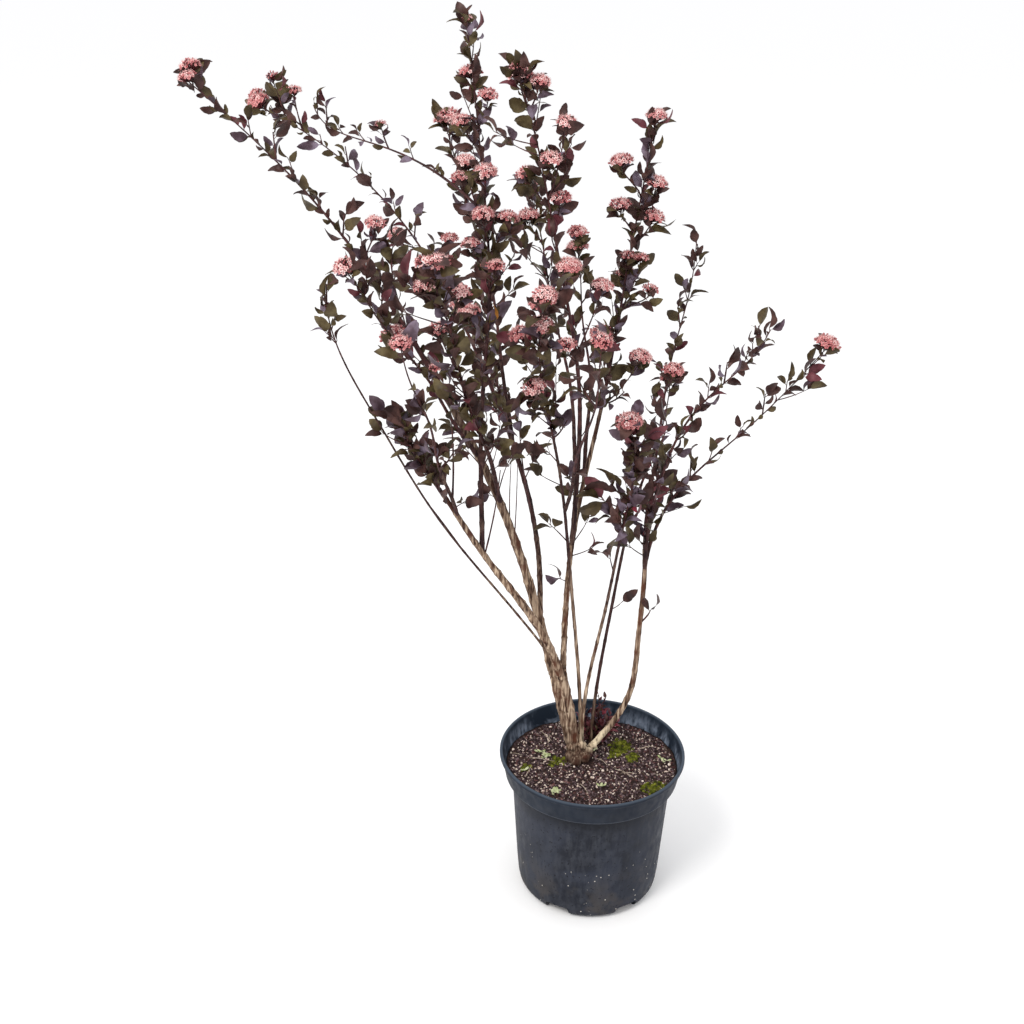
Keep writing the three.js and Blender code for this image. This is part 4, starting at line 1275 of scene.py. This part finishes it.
headSize = {"florets": 60, "radius": 12.6, "dome": 0.82, "rise": 6, "middle": 0.6, "widest": 1.45,
            "buds": 0.08, "closedBuds": 0.35, "bud": (1.5, 1.25, 1.25), "budLift": 1.2,
            "petalLift": 0.6, "stamenLift": 0.8}
petalSize = {
    "stops": ((0.3, 0, 0), (2.1, -1.35, 0.85), (3.2, 0, 1.2), (2.1, 1.35, 0.85), (1.9, 0, 0.85),
              (1.9, 0, 0.45)),
    "faces": ((0, 4, 1), (1, 4, 2), (2, 4, 3), (3, 4, 0), (0, 1, 5), (1, 2, 5), (2, 3, 5),
              (3, 0, 5)),
}
flowerParts = {  # name of the finish, its tones, scale of their pattern, roughness, gloss
    "petals_pale": ("palePink", [(0.68, 0.34, 0.33), (0.84, 0.53, 0.51), (0.94, 0.74, 0.71)],
                    260, 0.6, 0.2),
    "petals_rose": ("rosePink", [(0.4, 0.09, 0.1), (0.58, 0.2, 0.2), (0.76, 0.38, 0.37)],
                    260, 0.6, 0.2),
    "stamens": ("stamenPink", [(0.62, 0.28, 0.28), (0.9, 0.64, 0.6)], 500, 0.6, 0.3),
    "flower_cups": ("budRose", [(0.26, 0.06, 0.07), (0.48, 0.16, 0.16)], 300, 0.55, 0.3),
    "flower_stalks": ("stalkMaroon", [(0.075, 0.014, 0.018), (0.18, 0.035, 0.038)], 200, 0.6, 0.3),
}


def petalMesh():
    flower = Gathered()
    for c, s in circle(5):
        places = [(z, x * c - y * s, x * s + y * c) for x, y, z in petalSize["stops"]]
        flower.add(places, petalSize["faces"])
    return flower.mesh("petals", 50)


spikeTurns = (0, 2.094, 4.189)  # of the three edges round a spike


def spikeMesh(name, rows, foot, thick):
    # thin three-sided spikes that leave a foot: (direction, length)
    spikes = Gathered()
    foot = np.array(foot, float)
    for direction, length in rows:
        along = unit(np.array(direction, float))
        across = sideways(along, 0)
        other = cross(along, across)
        ring = [foot + (across * math.cos(turn) + other * math.sin(turn)) * thick
                for turn in spikeTurns]
        spikes.add([*ring, foot + along * length], [(0, 1, 3), (1, 2, 3), (2, 0, 3), (2, 1, 0)])
    return spikes.mesh(name)


def stamenMesh():
    draw = seeded(71)
    rows = []
    for i in range(8):
        turn = i * goldenAngle
        spread = varied("stamenSpread", draw)
        direction = (1, spread * math.cos(turn), spread * math.sin(turn))
        rows.append((direction, varied("stamenLength", draw)))
    return spikeMesh("stamenSpray", rows, (0.2, 0, 0), 0.2)


def lumpMesh(name, rings, sides, length, radius):
    # a small turned body along X
    body = Gathered()
    body.addTube([[(x * length, radius * r * c, radius * r * s) for c, s in circle(sides)]
                  for x, r in rings])
    return body.mesh(name)


def addFlowers(parts, tip, along, size, draw):
    closed = 1 - varied("opened", draw)
    paleShare = varied("pale", draw)
    radius = headSize["radius"] * size
    middle = tip + along * headSize["rise"] * size * headSize["middle"]
    foot = tip + along * 0.5
    count = round(headSize["florets"] * size)
    start = anyTurn * draw()
    for i in range(count):
        lean = math.acos(1 - (i + 0.5) / count * (1 - math.cos(headSize["widest"])))
        aside = sideways(along, start + i * goldenAngle)
        out = unit(aside * math.sin(lean) + along * math.cos(lean) * 1.15)
        place = middle + aside * math.sin(lean) * radius * varied("floretOut", draw)
        place = place + along * (math.cos(lean) * radius * headSize["dome"] + 1.6 * draw())
        grade = size * varied("floret", draw)
        stalk = place - foot
        reach = math.sqrt(stalk @ stalk)
        parts["flower_stalks"].append((foot, stalk / reach, out, (reach, 1, 1), 0))
        parts["flower_cups"].append((place, out, aside, (grade, grade, grade), 0))
        if draw() < headSize["buds"] + headSize["closedBuds"] * closed:
            bud = tuple(size * grade for size in headSize["bud"])
            parts["flower_cups"].append((place + out * headSize["budLift"], out, aside, bud, 0))
            continue
        # painted highlight: the lit top of a head is paler than its shaded skirt
        kind = "petals_pale" if draw() < paleShare + 0.55 * (0.8 - lean) else "petals_rose"
        for part, lift in ((kind, "petalLift"), ("stamens", "stamenLift")):
            parts[part].append((place + out * headSize[lift], out, aside, (grade, grade, grade), 0))


def makeHeads():
    parts = {name: [] for name in flowerParts}
    for shoot in shoots:
        draw = seeded(shoot["seed"] + 5)
        for head in shoot["grown"]["heads"]:
            addFlowers(parts, *head, draw)
    flower = shapeShelf("flowerShapes", petalMesh())
    cup = lumpMesh("cup", ((-0.3, 0.3), (0.2, 0.9), (0.6, 1), (1, 0.35)), 5, 2, 1.2)
    stalk = lumpMesh("stalk", ((0, 0.9), (1, 0.8)), 3, 1, 0.55)
    shapes = {
        "petals_pale": flower, "petals_rose": flower,
        "stamens": shapeShelf("stamenShapes", stamenMesh()),
        "flower_cups": shapeShelf("cupShapes", cup),
        "flower_stalks": shapeShelf("stalkShapes", stalk),
    }
    for name, rows in parts.items():
        settle(growPiece(name, rows, shapes[name], speckled(*flowerParts[name])), "foliage")


makeHeads()


# Pot: a turned shell with rounded corners, and drain arches cut round its foot

potSize = {"height": 218, "rimRadius": 129, "bandRadius": 121, "bandHeight": 36,
           "bodyTopRadius": 111, "bodyFootRadius": 100, "baseRadius": 91, "heel": 14, "wall": 2,
           "lip": 4.2, "floor": 3, "segments": 144, "sharpAngle": 32}
drainSize = {"count": 6, "width": 35, "height": 15, "depth": 44, "turn": 0.555, "facets": 32,
             "square": 0.28}


def roundedProfile(corners):
    # corners of (radius, height, rounding), each rounded by a short curve
    points = []
    for i, (r, z, rounding) in enumerate(corners):
        here = np.array((r, z), float)
        if not rounding:
            points.append(here)
            continue
        before = np.array(corners[i - 1][:2], float) - here
        after = np.array(corners[i + 1][:2], float) - here
        first = here + unit(before) * min(rounding, np.linalg.norm(before) * 0.45)
        last = here + unit(after) * min(rounding, np.linalg.norm(after) * 0.45)
        for share in (0, 0.25, 0.5, 0.75, 1):
            rest = 1 - share
            points.append(first * rest * rest + here * 2 * rest * share + last * share * share)
    return points


def lathed(name, profile, segments):
    # the profile starts and ends on the axis
    body = Gathered()
    steps = circle(segments)
    base, top = body.addSkin([[(r * c, r * s, z) for c, s in steps] for r, z in profile[1:-1]])
    foot = len(body.places)
    body.places.extend([(0, 0, profile[0][1]), (0, 0, profile[-1][1])])
    for i in range(segments):
        j = (i + 1) % segments
        body.faces.append((foot, base + j, base + i))
        body.faces.append((foot + 1, top + i, top + j))
    return body.mesh(name, potSize["sharpAngle"])


def makeDrainTree():
    # a cutter at each of a circle's points, taken out of the pot
    tree, start = newTree("drainArches", Cutter="Object", Count="Int", Radius="Float", Turn="Float")
    ring = addNode(tree, "GeometryNodeMeshCircle", {
        "Vertices": start["Count"], "Radius": start["Radius"]})
    cutter = addNode(tree, "GeometryNodeObjectInfo", {"Object": start["Cutter"]})
    place = addNode(tree, "GeometryNodeInputPosition", {})
    face = addNode(tree, "FunctionNodeAlignRotationToVector", {"Vector": place.outputs[0]},
                   axis="X")
    copies = addNode(tree, "GeometryNodeInstanceOnPoints", {
        "Points": ring.outputs["Mesh"], "Instance": cutter.outputs["Geometry"],
        "Rotation": face.outputs["Rotation"]})
    spin = addNode(tree, "ShaderNodeCombineXYZ", {"Z": start["Turn"]})
    turned = addNode(tree, "GeometryNodeTransform", {
        "Geometry": copies.outputs["Instances"], "Rotation": spin.outputs[0]})
    real = addNode(tree, "GeometryNodeRealizeInstances", {"Geometry": turned.outputs["Geometry"]})
    cut = addNode(tree, "GeometryNodeMeshBoolean", {
        "Mesh 1": start["Geometry"], "Mesh 2": real.outputs["Geometry"]}, operation="DIFFERENCE",
        solver="MANIFOLD")
    return endTree(tree, start, cut.outputs["Mesh"])


def makeCutter():
    # a bar whose section is an arch with square shoulders
    ring = []
    for c, s in circle(drainSize["facets"], 0.5):
        across = math.copysign(abs(c) ** drainSize["square"], c)
        rise = math.copysign(abs(s) ** drainSize["square"], s)
        ring.append((across * drainSize["width"] / 2, rise * drainSize["height"]))
    half = drainSize["depth"] / 2
    bar = Gathered()
    bar.addTube([[(x, y, z) for y, z in ring] for x in (-half, half)])
    cutter = bpy.data.objects.new("drainCutter", bar.mesh("drainCutter"))
    shelf.objects.link(cutter)
    return cutter


def makePot(finish):
    top = potSize["height"]
    bandFoot = top - potSize["bandHeight"]
    rim = potSize["rimRadius"]
    band = potSize["bandRadius"]
    shoulder = potSize["bodyTopRadius"]
    ankle = potSize["bodyFootRadius"]
    base = potSize["baseRadius"]
    wall = potSize["wall"]
    heel = potSize["heel"]
    floor = potSize["floor"]
    profile = roundedProfile([  # outside from the foot to the rim, then inside down to the floor
        (0, 0, 0), (base, 0, 3), (ankle - 1.5, heel * 0.5, 8), (ankle + 1.2, heel + 16, 14),
        (shoulder, bandFoot - 3, 2), (band - 1, bandFoot - 1, 3), (rim - 3.2, top - 7, 1.5),
        (rim - 0.2, top - 5.5, 1.2), (rim - 0.2, top, 2.2), (rim - potSize["lip"], top, 2.0),
        (band - wall - 1, bandFoot + 2, 2), (shoulder - wall, bandFoot - 3, 2),
        (ankle - wall, heel, 4), (base - wall, floor, 2), (0, floor, 0)])
    shell = pieceOf(lathed("potShell", profile, potSize["segments"]))
    mesh = runTree(shell, makeDrainTree(), {
        "Cutter": makeCutter(), "Count": drainSize["count"], "Radius": base * millimetre,
        "Turn": drainSize["turn"] - math.pi / 2, "Finish": finish}, "nursery_pot")
    return pieceOf(smoothed(mesh, potSize["sharpAngle"]))


# painted highlight along the rim's top edge
paintedRimHighlight = (0.05, 0.066, 0.09)  # on the rim, inside and out


def potFinish():
    # blue-black plastic, dusty and mottled, with a few pale specks low down
    pot = Finish("potPlastic", 0.6, 0.18)
    broad = pot.noise(18, 6, 0.8)
    mottle = pot.noise(110, 6, stretch=(1, 1, 0.6))
    streak = pot.noise(170, stretch=(1, 1, 0.12))
    colour = pot.mix(pot.grey(broad, 0.38, 0.62), (0.006, 0.008, 0.015), (0.018, 0.022, 0.036))
    colour = pot.coat(colour, pot.grey(mottle, 0.42, 0.66), 0.55, (0.043, 0.047, 0.06))
    colour = pot.coat(colour, pot.grey(streak, 0.5, 0.72), 0.3, (0.052, 0.055, 0.064))
    # brown dirt splashed up from the ground
    splash = pot.grey(pot.noise(24, 5), 0.5, 0.62)
    splash = pot.times(splash, pot.less(0.55, pot.height(0.02, 0.15)))
    colour = pot.mix(splash, colour, (0.062, 0.052, 0.044))
    pits = pot.less(1, pot.grey(pot.noise(260, 3), 0.3, 0.38))
    colour = pot.mix(pits, colour, (0.004, 0.005, 0.009))
    band = pot.mix(pot.grey(broad, 0.3, 0.7), (0.004, 0.007, 0.014), (0.012, 0.018, 0.031))
    colour = pot.mix(pot.height(0.174, 0.182), colour, band)
    # painted shade: the right side is darker and bluer, where less light falls
    paintedShadeRightSide = pot.times(pot.height(0.02, 0.09, "X"), pot.grey(mottle, 0.25, 0.6))
    colour = pot.coat(colour, paintedShadeRightSide, 0.75, (0.009, 0.013, 0.026))
    # painted shadow under the band, and a painted highlight along the band's lower edge
    under = pot.less(pot.height(0.15, 0.178), pot.height(0.1795, 0.1805))
    colour = pot.coat(colour, under, 0.8, (0.0025, 0.0035, 0.007))
    paintedBandEdgeHighlight = pot.less(pot.height(0.1808, 0.1816), pot.height(0.1826, 0.184))
    colour = pot.coat(colour, paintedBandEdgeHighlight, 0.6, (0.05, 0.062, 0.085))
    # painted highlight on the rim's top edge, outside
    colour = pot.mix(pot.height(0.2155, 0.218), colour, paintedRimHighlight)
    speck = pot.add("TexVoronoi", {"Vector": pot.place(), "Scale": 120}).outputs["Distance"]
    marks = pot.less(1, pot.grey(speck, 0.085, 0.12))
    marks = pot.times(marks, pot.grey(pot.noise(34, 2), 0.46, 0.5))
    marks = pot.times(marks, pot.less(1, pot.height(0.06, 0.12)))
    pot.set("Base Color", pot.mix(marks, colour, (0.66, 0.62, 0.55)))
    pot.set("Roughness", pot.ramp(mottle, [(0.3, (0.45, 0.45, 0.45)), (0.7, (0.7, 0.7, 0.7))]))
    pot.bump(pot.noise(600, 3), 0.15, 0.0005)
    return pot.material


def potInsideFinish():
    # the same plastic, scuffed with pale lime above the mix
    pot = Finish("potInside", 0.6, 0.2)
    patch = pot.grey(pot.noise(38, 6, 0.8, stretch=(1, 1, 0.7)), 0.42, 0.6)
    fine = pot.grey(pot.noise(190, stretch=(1, 1, 0.4)), 0.3, 0.6)
    lime = pot.times(pot.times(patch, fine), pot.less(1.1, pot.height(0.192, 0.214)))
    colour = pot.coat((0.009, 0.016, 0.028), lime, 0.8, (0.26, 0.31, 0.4))
    # painted highlight on the rim's top edge, inside
    pot.set("Base Color", pot.mix(pot.height(0.2155, 0.218), colour, paintedRimHighlight))
    return pot.material


def finishInside(pot):
    # the faces that look inwards get a finish of their own
    pot.data.materials.append(potInsideFinish())
    inside = len(pot.data.materials) - 1
    for face in pot.data.polygons:
        inwards = face.center.x * face.normal.x + face.center.y * face.normal.y
        if inwards < 0 and face.center.z > 0.1:
            face.material_index = inside


pot = makePot(potFinish())
finishInside(pot)
settle(pot, "pot_plastic", "pot")


# Potting mix: an uneven bed with grains, chips, moss, seedlings and dry straws

mixBed = {"flatRadius": 75, "sides": 150, "rings": 54, "topSides": 60, "topRings": 22,
          "topRadius": 116, "topHole": 5, "sideRise": 8, "wall": ((108, 183), (97, 15), (71, 4))}


def mixHeight(x, y):
    away = math.hypot(x, y)
    edge = max(0, (away - mixBed["flatRadius"]) / (mixSize["radius"] - mixBed["flatRadius"]))
    mound = math.exp(-((x - crownSize["x"]) ** 2 + (y - crownSize["y"]) ** 2) / 900)
    height = mixSize["level"] - mixSize["edgeDrop"] * edge - 1.2 + mixSize["mound"] * mound
    # the mix stands a little higher against the pot's left and right sides
    height += mixBed["sideRise"] * edge * (x / mixSize["radius"]) ** 2
    height += (2.4 * rough(x / 26, y / 26, 3) + 1.3 * rough(x / 8, y / 8, 7)
               + 0.8 * rough(x / 3, y / 3, 9))
    return height


def ringOf(radius, sides, height=None):
    # a ring of places, on the mix where no height is given
    places = [(radius * c, radius * s) for c, s in circle(sides)]
    return [(x, y, mixHeight(x, y) if height is None else height) for x, y in places]


def makeMix():
    bed = Gathered()
    count = mixBed["rings"]
    rings = [ringOf(mixSize["radius"] * (i / count) ** 0.8, mixBed["sides"])
             for i in range(1, count + 1)]
    rings += [ringOf(radius, mixBed["sides"], height) for radius, height in mixBed["wall"]]
    bed.addTube(rings[::-1])
    return bed.mesh("mix_bed")


def makeMixTop():
    # the open surface that grains and moss are strewn on
    top = Gathered()
    count = mixBed["topRings"]
    hole = mixBed["topHole"]
    top.addSkin([ringOf(hole + (mixBed["topRadius"] - hole) * i / count, mixBed["topSides"])
                 for i in range(count + 1)], flip=True)
    return top.mesh("mixTop")


def grainMesh(name, seed, length, width, height, rows, sides):
    # an uneven lump, longer along X
    draw = seeded(seed)
    body = Gathered()
    rings = []
    for r in range(rows):
        share = (r + 0.5) / rows
        swell = math.sin(math.pi * share) ** 0.6
        rings.append([((share - 0.5) * length, width * swell * varied("grain", draw) * c,
                       height * swell * varied("grain", draw) * s) for c, s in circle(sides)])
    body.addTube(rings)
    return body.mesh(name, 40)


def tuftMesh():
    # five short moss shoots from one foot
    turns = [2.4 * i for i in range(5)]
    rows = [((math.cos(turn) * 0.7, math.sin(turn) * 0.7, 1), 3.0) for turn in turns]
    return spikeMesh("tuft", rows, (0, 0, 0.2), 0.45)


def cushionMesh():
    # a little dome of moss
    cushion = Gathered()
    cushion.addTube([[(radius * c, radius * s, height) for c, s in circle(7)]
                     for height, radius in ((-0.6, 2.4), (0.6, 2.3), (1.6, 1.5), (2.1, 0.5))])
    return cushion.mesh("cushion")


mixTones = {  # tones, scale of their pattern, roughness, gloss, relief
    "mixBed": ([(0.01, 0.006, 0.006), (0.03, 0.017, 0.015), (0.06, 0.034, 0.028)],
               300, 0.95, 0.12, 0.6),
    "mixCrumb": ([(0.012, 0.008, 0.009), (0.06, 0.038, 0.041), (0.2, 0.14, 0.145)],
                 260, 0.95, 0.12),
    "mixChip": ([(0.04, 0.014, 0.015), (0.1, 0.04, 0.038), (0.24, 0.14, 0.13)], 180, 0.9, 0.15),
    "paleGrain": ([(0.32, 0.23, 0.19), (0.66, 0.52, 0.44), (0.9, 0.8, 0.7)], 320, 0.8, 0.25),
    "dryStraw": ([(0.32, 0.25, 0.19), (0.62, 0.52, 0.42)], 120, 0.8, 0.2),
    "moss": ([(0.03, 0.037, 0.005), (0.1, 0.112, 0.012), (0.22, 0.22, 0.03)], 150, 0.9, 0.1),
    "seedling": ([(0.28, 0.33, 0.13), (0.64, 0.66, 0.42)], 140, 0.6, 0.2),
}
mixFinishes = {name: speckled(name, *tones) for name, tones in mixTones.items()}
# three sizes of each grain: the first one's (seed, length, width, height), what each next adds
grains = {
    "mix_crumbs": {
        "finish": "mixCrumb", "rows": 3, "sides": 6,
        "first": (31, 4.2, 1.9, 1.5), "more": (1, 1, 0, 0),
        "strewn": {"Density": 60000.0, "Seed": 4, "Smallest": 0.5, "Largest": 1.3, "Tilt": 0.7}},
    "mix_chips": {
        "finish": "mixChip", "rows": 3, "sides": 6,
        "first": (51, 8, 2.0, 0.9), "more": (1, 3, 0, 0),
        "strewn": {"Density": 13000.0, "Seed": 9, "Smallest": 0.4, "Largest": 1.1, "Tilt": 0.35}},
    "pale_grains": {
        "finish": "paleGrain", "rows": 3, "sides": 6,
        "first": (81, 2.6, 1.2, 1.1), "more": (1, 1, 0.3, 0),
        "strewn": {"Density": 27000.0, "Seed": 13, "Smallest": 0.3, "Largest": 1.4, "Tilt": 3.0}},
    "dry_straws": {
        "finish": "dryStraw", "rows": 5, "sides": 4,
        "first": (91, 24, 0.4, 0.4), "more": (1, 9, 0, 0),
        "strewn": {"Density": 1100.0, "Seed": 21, "Smallest": 0.4, "Largest": 1.0, "Tilt": 0.12}},
}
mossPatches = {  # middle x and y, reach
    "back": (46, 44, 15), "side": (60, 18, 9), "low": (34, 24, 7), "front": (80, -54, 12),
    "left": (-48, 5, 10), "far": (-92, -10, 6),
}
mossSize = {"smallest": 0.5, "tilt": 0.5, "firstSeed": 30}
seedlingPlaces = (  # middle x and y, number
    (-62, 17, 5), (-52, -66, 7), (102, 9, 3), (11, -53, 3), (5, 31, 3), (-70, 30, 2), (-96, -16, 3),
)
strawPlaces = (  # from x, y to x, y
    (-87, 11, -54, 5), (-60, 49, -57, 72), (-93, -34, -84, -7), (70, 38, 90, 43),
    (32, -11, 57, -31), (-112, 21, -97, 17), (-70, 79, -55, 53), (-18, -47, -8, -67),
    (8, 9, 22, -4), (40, -20, 62, -24),
)


def strewGrains(top):
    for name, grain in grains.items():
        meshes = []
        for i in range(3):
            size = [first + more * i for first, more in zip(grain["first"], grain["more"])]
            meshes.append(grainMesh(grain["finish"] + str(i), *size, grain["rows"], grain["sides"]))
        shapes = shapeShelf(name + "Shapes", *meshes)
        piece = strewPiece(name, top, shapes, mixFinishes[grain["finish"]], **grain["strewn"])
        settle(piece, "potting_mix")


def strewMoss(top):
    kinds = (("moss_", shapeShelf("mossShapes", tuftMesh()), 420000.0, 1.3),
             ("cushions_", shapeShelf("cushionShapes", cushionMesh()), 90000.0, 1.5))
    for index, (name, (x, y, reach)) in enumerate(mossPatches.items()):
        middle = (x * millimetre, y * millimetre, mixHeight(x, y) * millimetre)
        for kind, shapes, density, largest in kinds:
            piece = strewPiece(kind + name, top, shapes, mixFinishes["moss"], Density=density,
                               Seed=mossSize["firstSeed"] + index, Smallest=mossSize["smallest"],
                               Largest=largest, Middle=middle, Reach=reach * millimetre,
                               Tilt=mossSize["tilt"])
            settle(piece, "potting_mix")


def makeStraws(draw):
    straws = Gathered()
    for x0, y0, x1, y1 in strawPlaces:
        start = np.array((x0, y0, mixHeight(x0, y0) + 2.2))
        end = np.array((x1, y1, mixHeight(x1, y1) + 2.6))
        bow = np.array((3 * draw() - 1.5, 3 * draw() - 1.5, 1.5 + 2 * draw()))
        middle = (start + end) / 2 + bow
        curve = LimbCurve(start, middle, middle, end)
        straws.addTube(limbRings(curve, 0, 1, lambda t, s: 0.55 - 0.2 * t, 5, 5, 0, 0))
    return straws.mesh("long_straws")


def makeSeedlings(draw):
    # two leaflets on each of a few young sprouts
    rows = []
    for x, y, count in seedlingPlaces:
        for i in range(count):
            foot = np.array((x + 9 * (draw() - 0.5), y + 9 * (draw() - 0.5), 0))
            foot[2] = mixHeight(foot[0], foot[1]) + 2.4
            turn = anyTurn * draw()
            for side in (0, math.pi):
                along = unit(np.array((math.cos(turn + side), math.sin(turn + side), 0.45)))
                rows.append((foot, along, up, (varied("seedLeaf", draw), 1, 0.3), 0))
    leaflet = lumpMesh("seedLeaf", ((0, 0.15), (0.35, 0.9), (0.7, 1), (1, 0.2)), 6, 6, 2)
    shapes = shapeShelf("seedlingShapes", leaflet)
    return growPiece("seedlings", rows, shapes, mixFinishes["seedling"])


settle(pieceOf(makeMix(), mixFinishes["mixBed"]), "potting_mix", "potting_mix")
mixTop = makeMixTop()
strewGrains(mixTop)
strewMoss(mixTop)
strawDraw = seeded(17)
settle(pieceOf(makeStraws(strawDraw), mixFinishes["dryStraw"]), "potting_mix")
settle(makeSeedlings(strawDraw), "potting_mix")


# Floor, camera and light

cameraSize = {"place": (-0.116, -1.620, 1.357), "down": 25.54, "roll": 0.74, "lens": 49.22,
              "sensor": 36}
lampAim = (-0.05, 0, 0.65)
floorReach = 40000
lamps = {  # place, width, power, colour
    "key": ((-1.4, -1.8, 3.0), 1.2, 60, (1, 0.98, 0.95)),
    "fill": ((2.2, -1.2, 1.6), 2.4, 5, (0.95, 0.97, 1)),
}


def makeStage():
    floor = Gathered()
    corners = ((-1, -1), (1, -1), (1, 1), (-1, 1))
    floor.add([(x * floorReach, y * floorReach, -0.5) for x, y in corners], [(0, 1, 2, 3)])
    pale = Finish("paleFloor", 0.95, 0.0)
    pale.set("Base Color", (0.96, 0.96, 0.96))
    finish = pale.material
    pieceOf(floor.mesh("floor"), finish)


def makeCamera():
    lens = bpy.data.cameras.new("camera")
    lens.lens = cameraSize["lens"]
    lens.sensor_width = cameraSize["sensor"]
    camera = bpy.data.objects.new("camera", lens)
    camera.location = cameraSize["place"]
    pitch = Matrix.Rotation(math.radians(90 - cameraSize["down"]), 4, "X")
    roll = Matrix.Rotation(math.radians(cameraSize["roll"]), 4, "Z")
    camera.rotation_mode = "QUATERNION"
    camera.rotation_quaternion = (pitch @ roll).to_quaternion()
    bpy.context.scene.collection.objects.link(camera)
    bpy.context.scene.camera = camera


def makeLight(name, place, size, power, colour):
    light = bpy.data.lights.new(name, "AREA")
    light.shape = "DISK"
    light.size = size
    light.energy = power
    light.color = colour
    lamp = bpy.data.objects.new(name, light)
    lamp.location = place
    lamp.rotation_mode = "QUATERNION"
    lamp.rotation_quaternion = (Vector(lampAim) - Vector(place)).to_track_quat("-Z", "Y")
    bpy.context.scene.collection.objects.link(lamp)


def makeSky():
    world = bpy.data.worlds.new("softSky")
    world.use_nodes = True
    sky = world.node_tree.nodes["Background"]
    sky.inputs["Color"].default_value = (0.99, 0.99, 1.0, 1)
    sky.inputs["Strength"].default_value = 1.04
    bpy.context.scene.world = world


makeStage()
makeCamera()
makeSky()
for name, values in lamps.items():
    makeLight(name, *values)
bpy.context.scene.view_settings.view_transform = "Standard"
print("floor, camera and light set")

print("dressed")
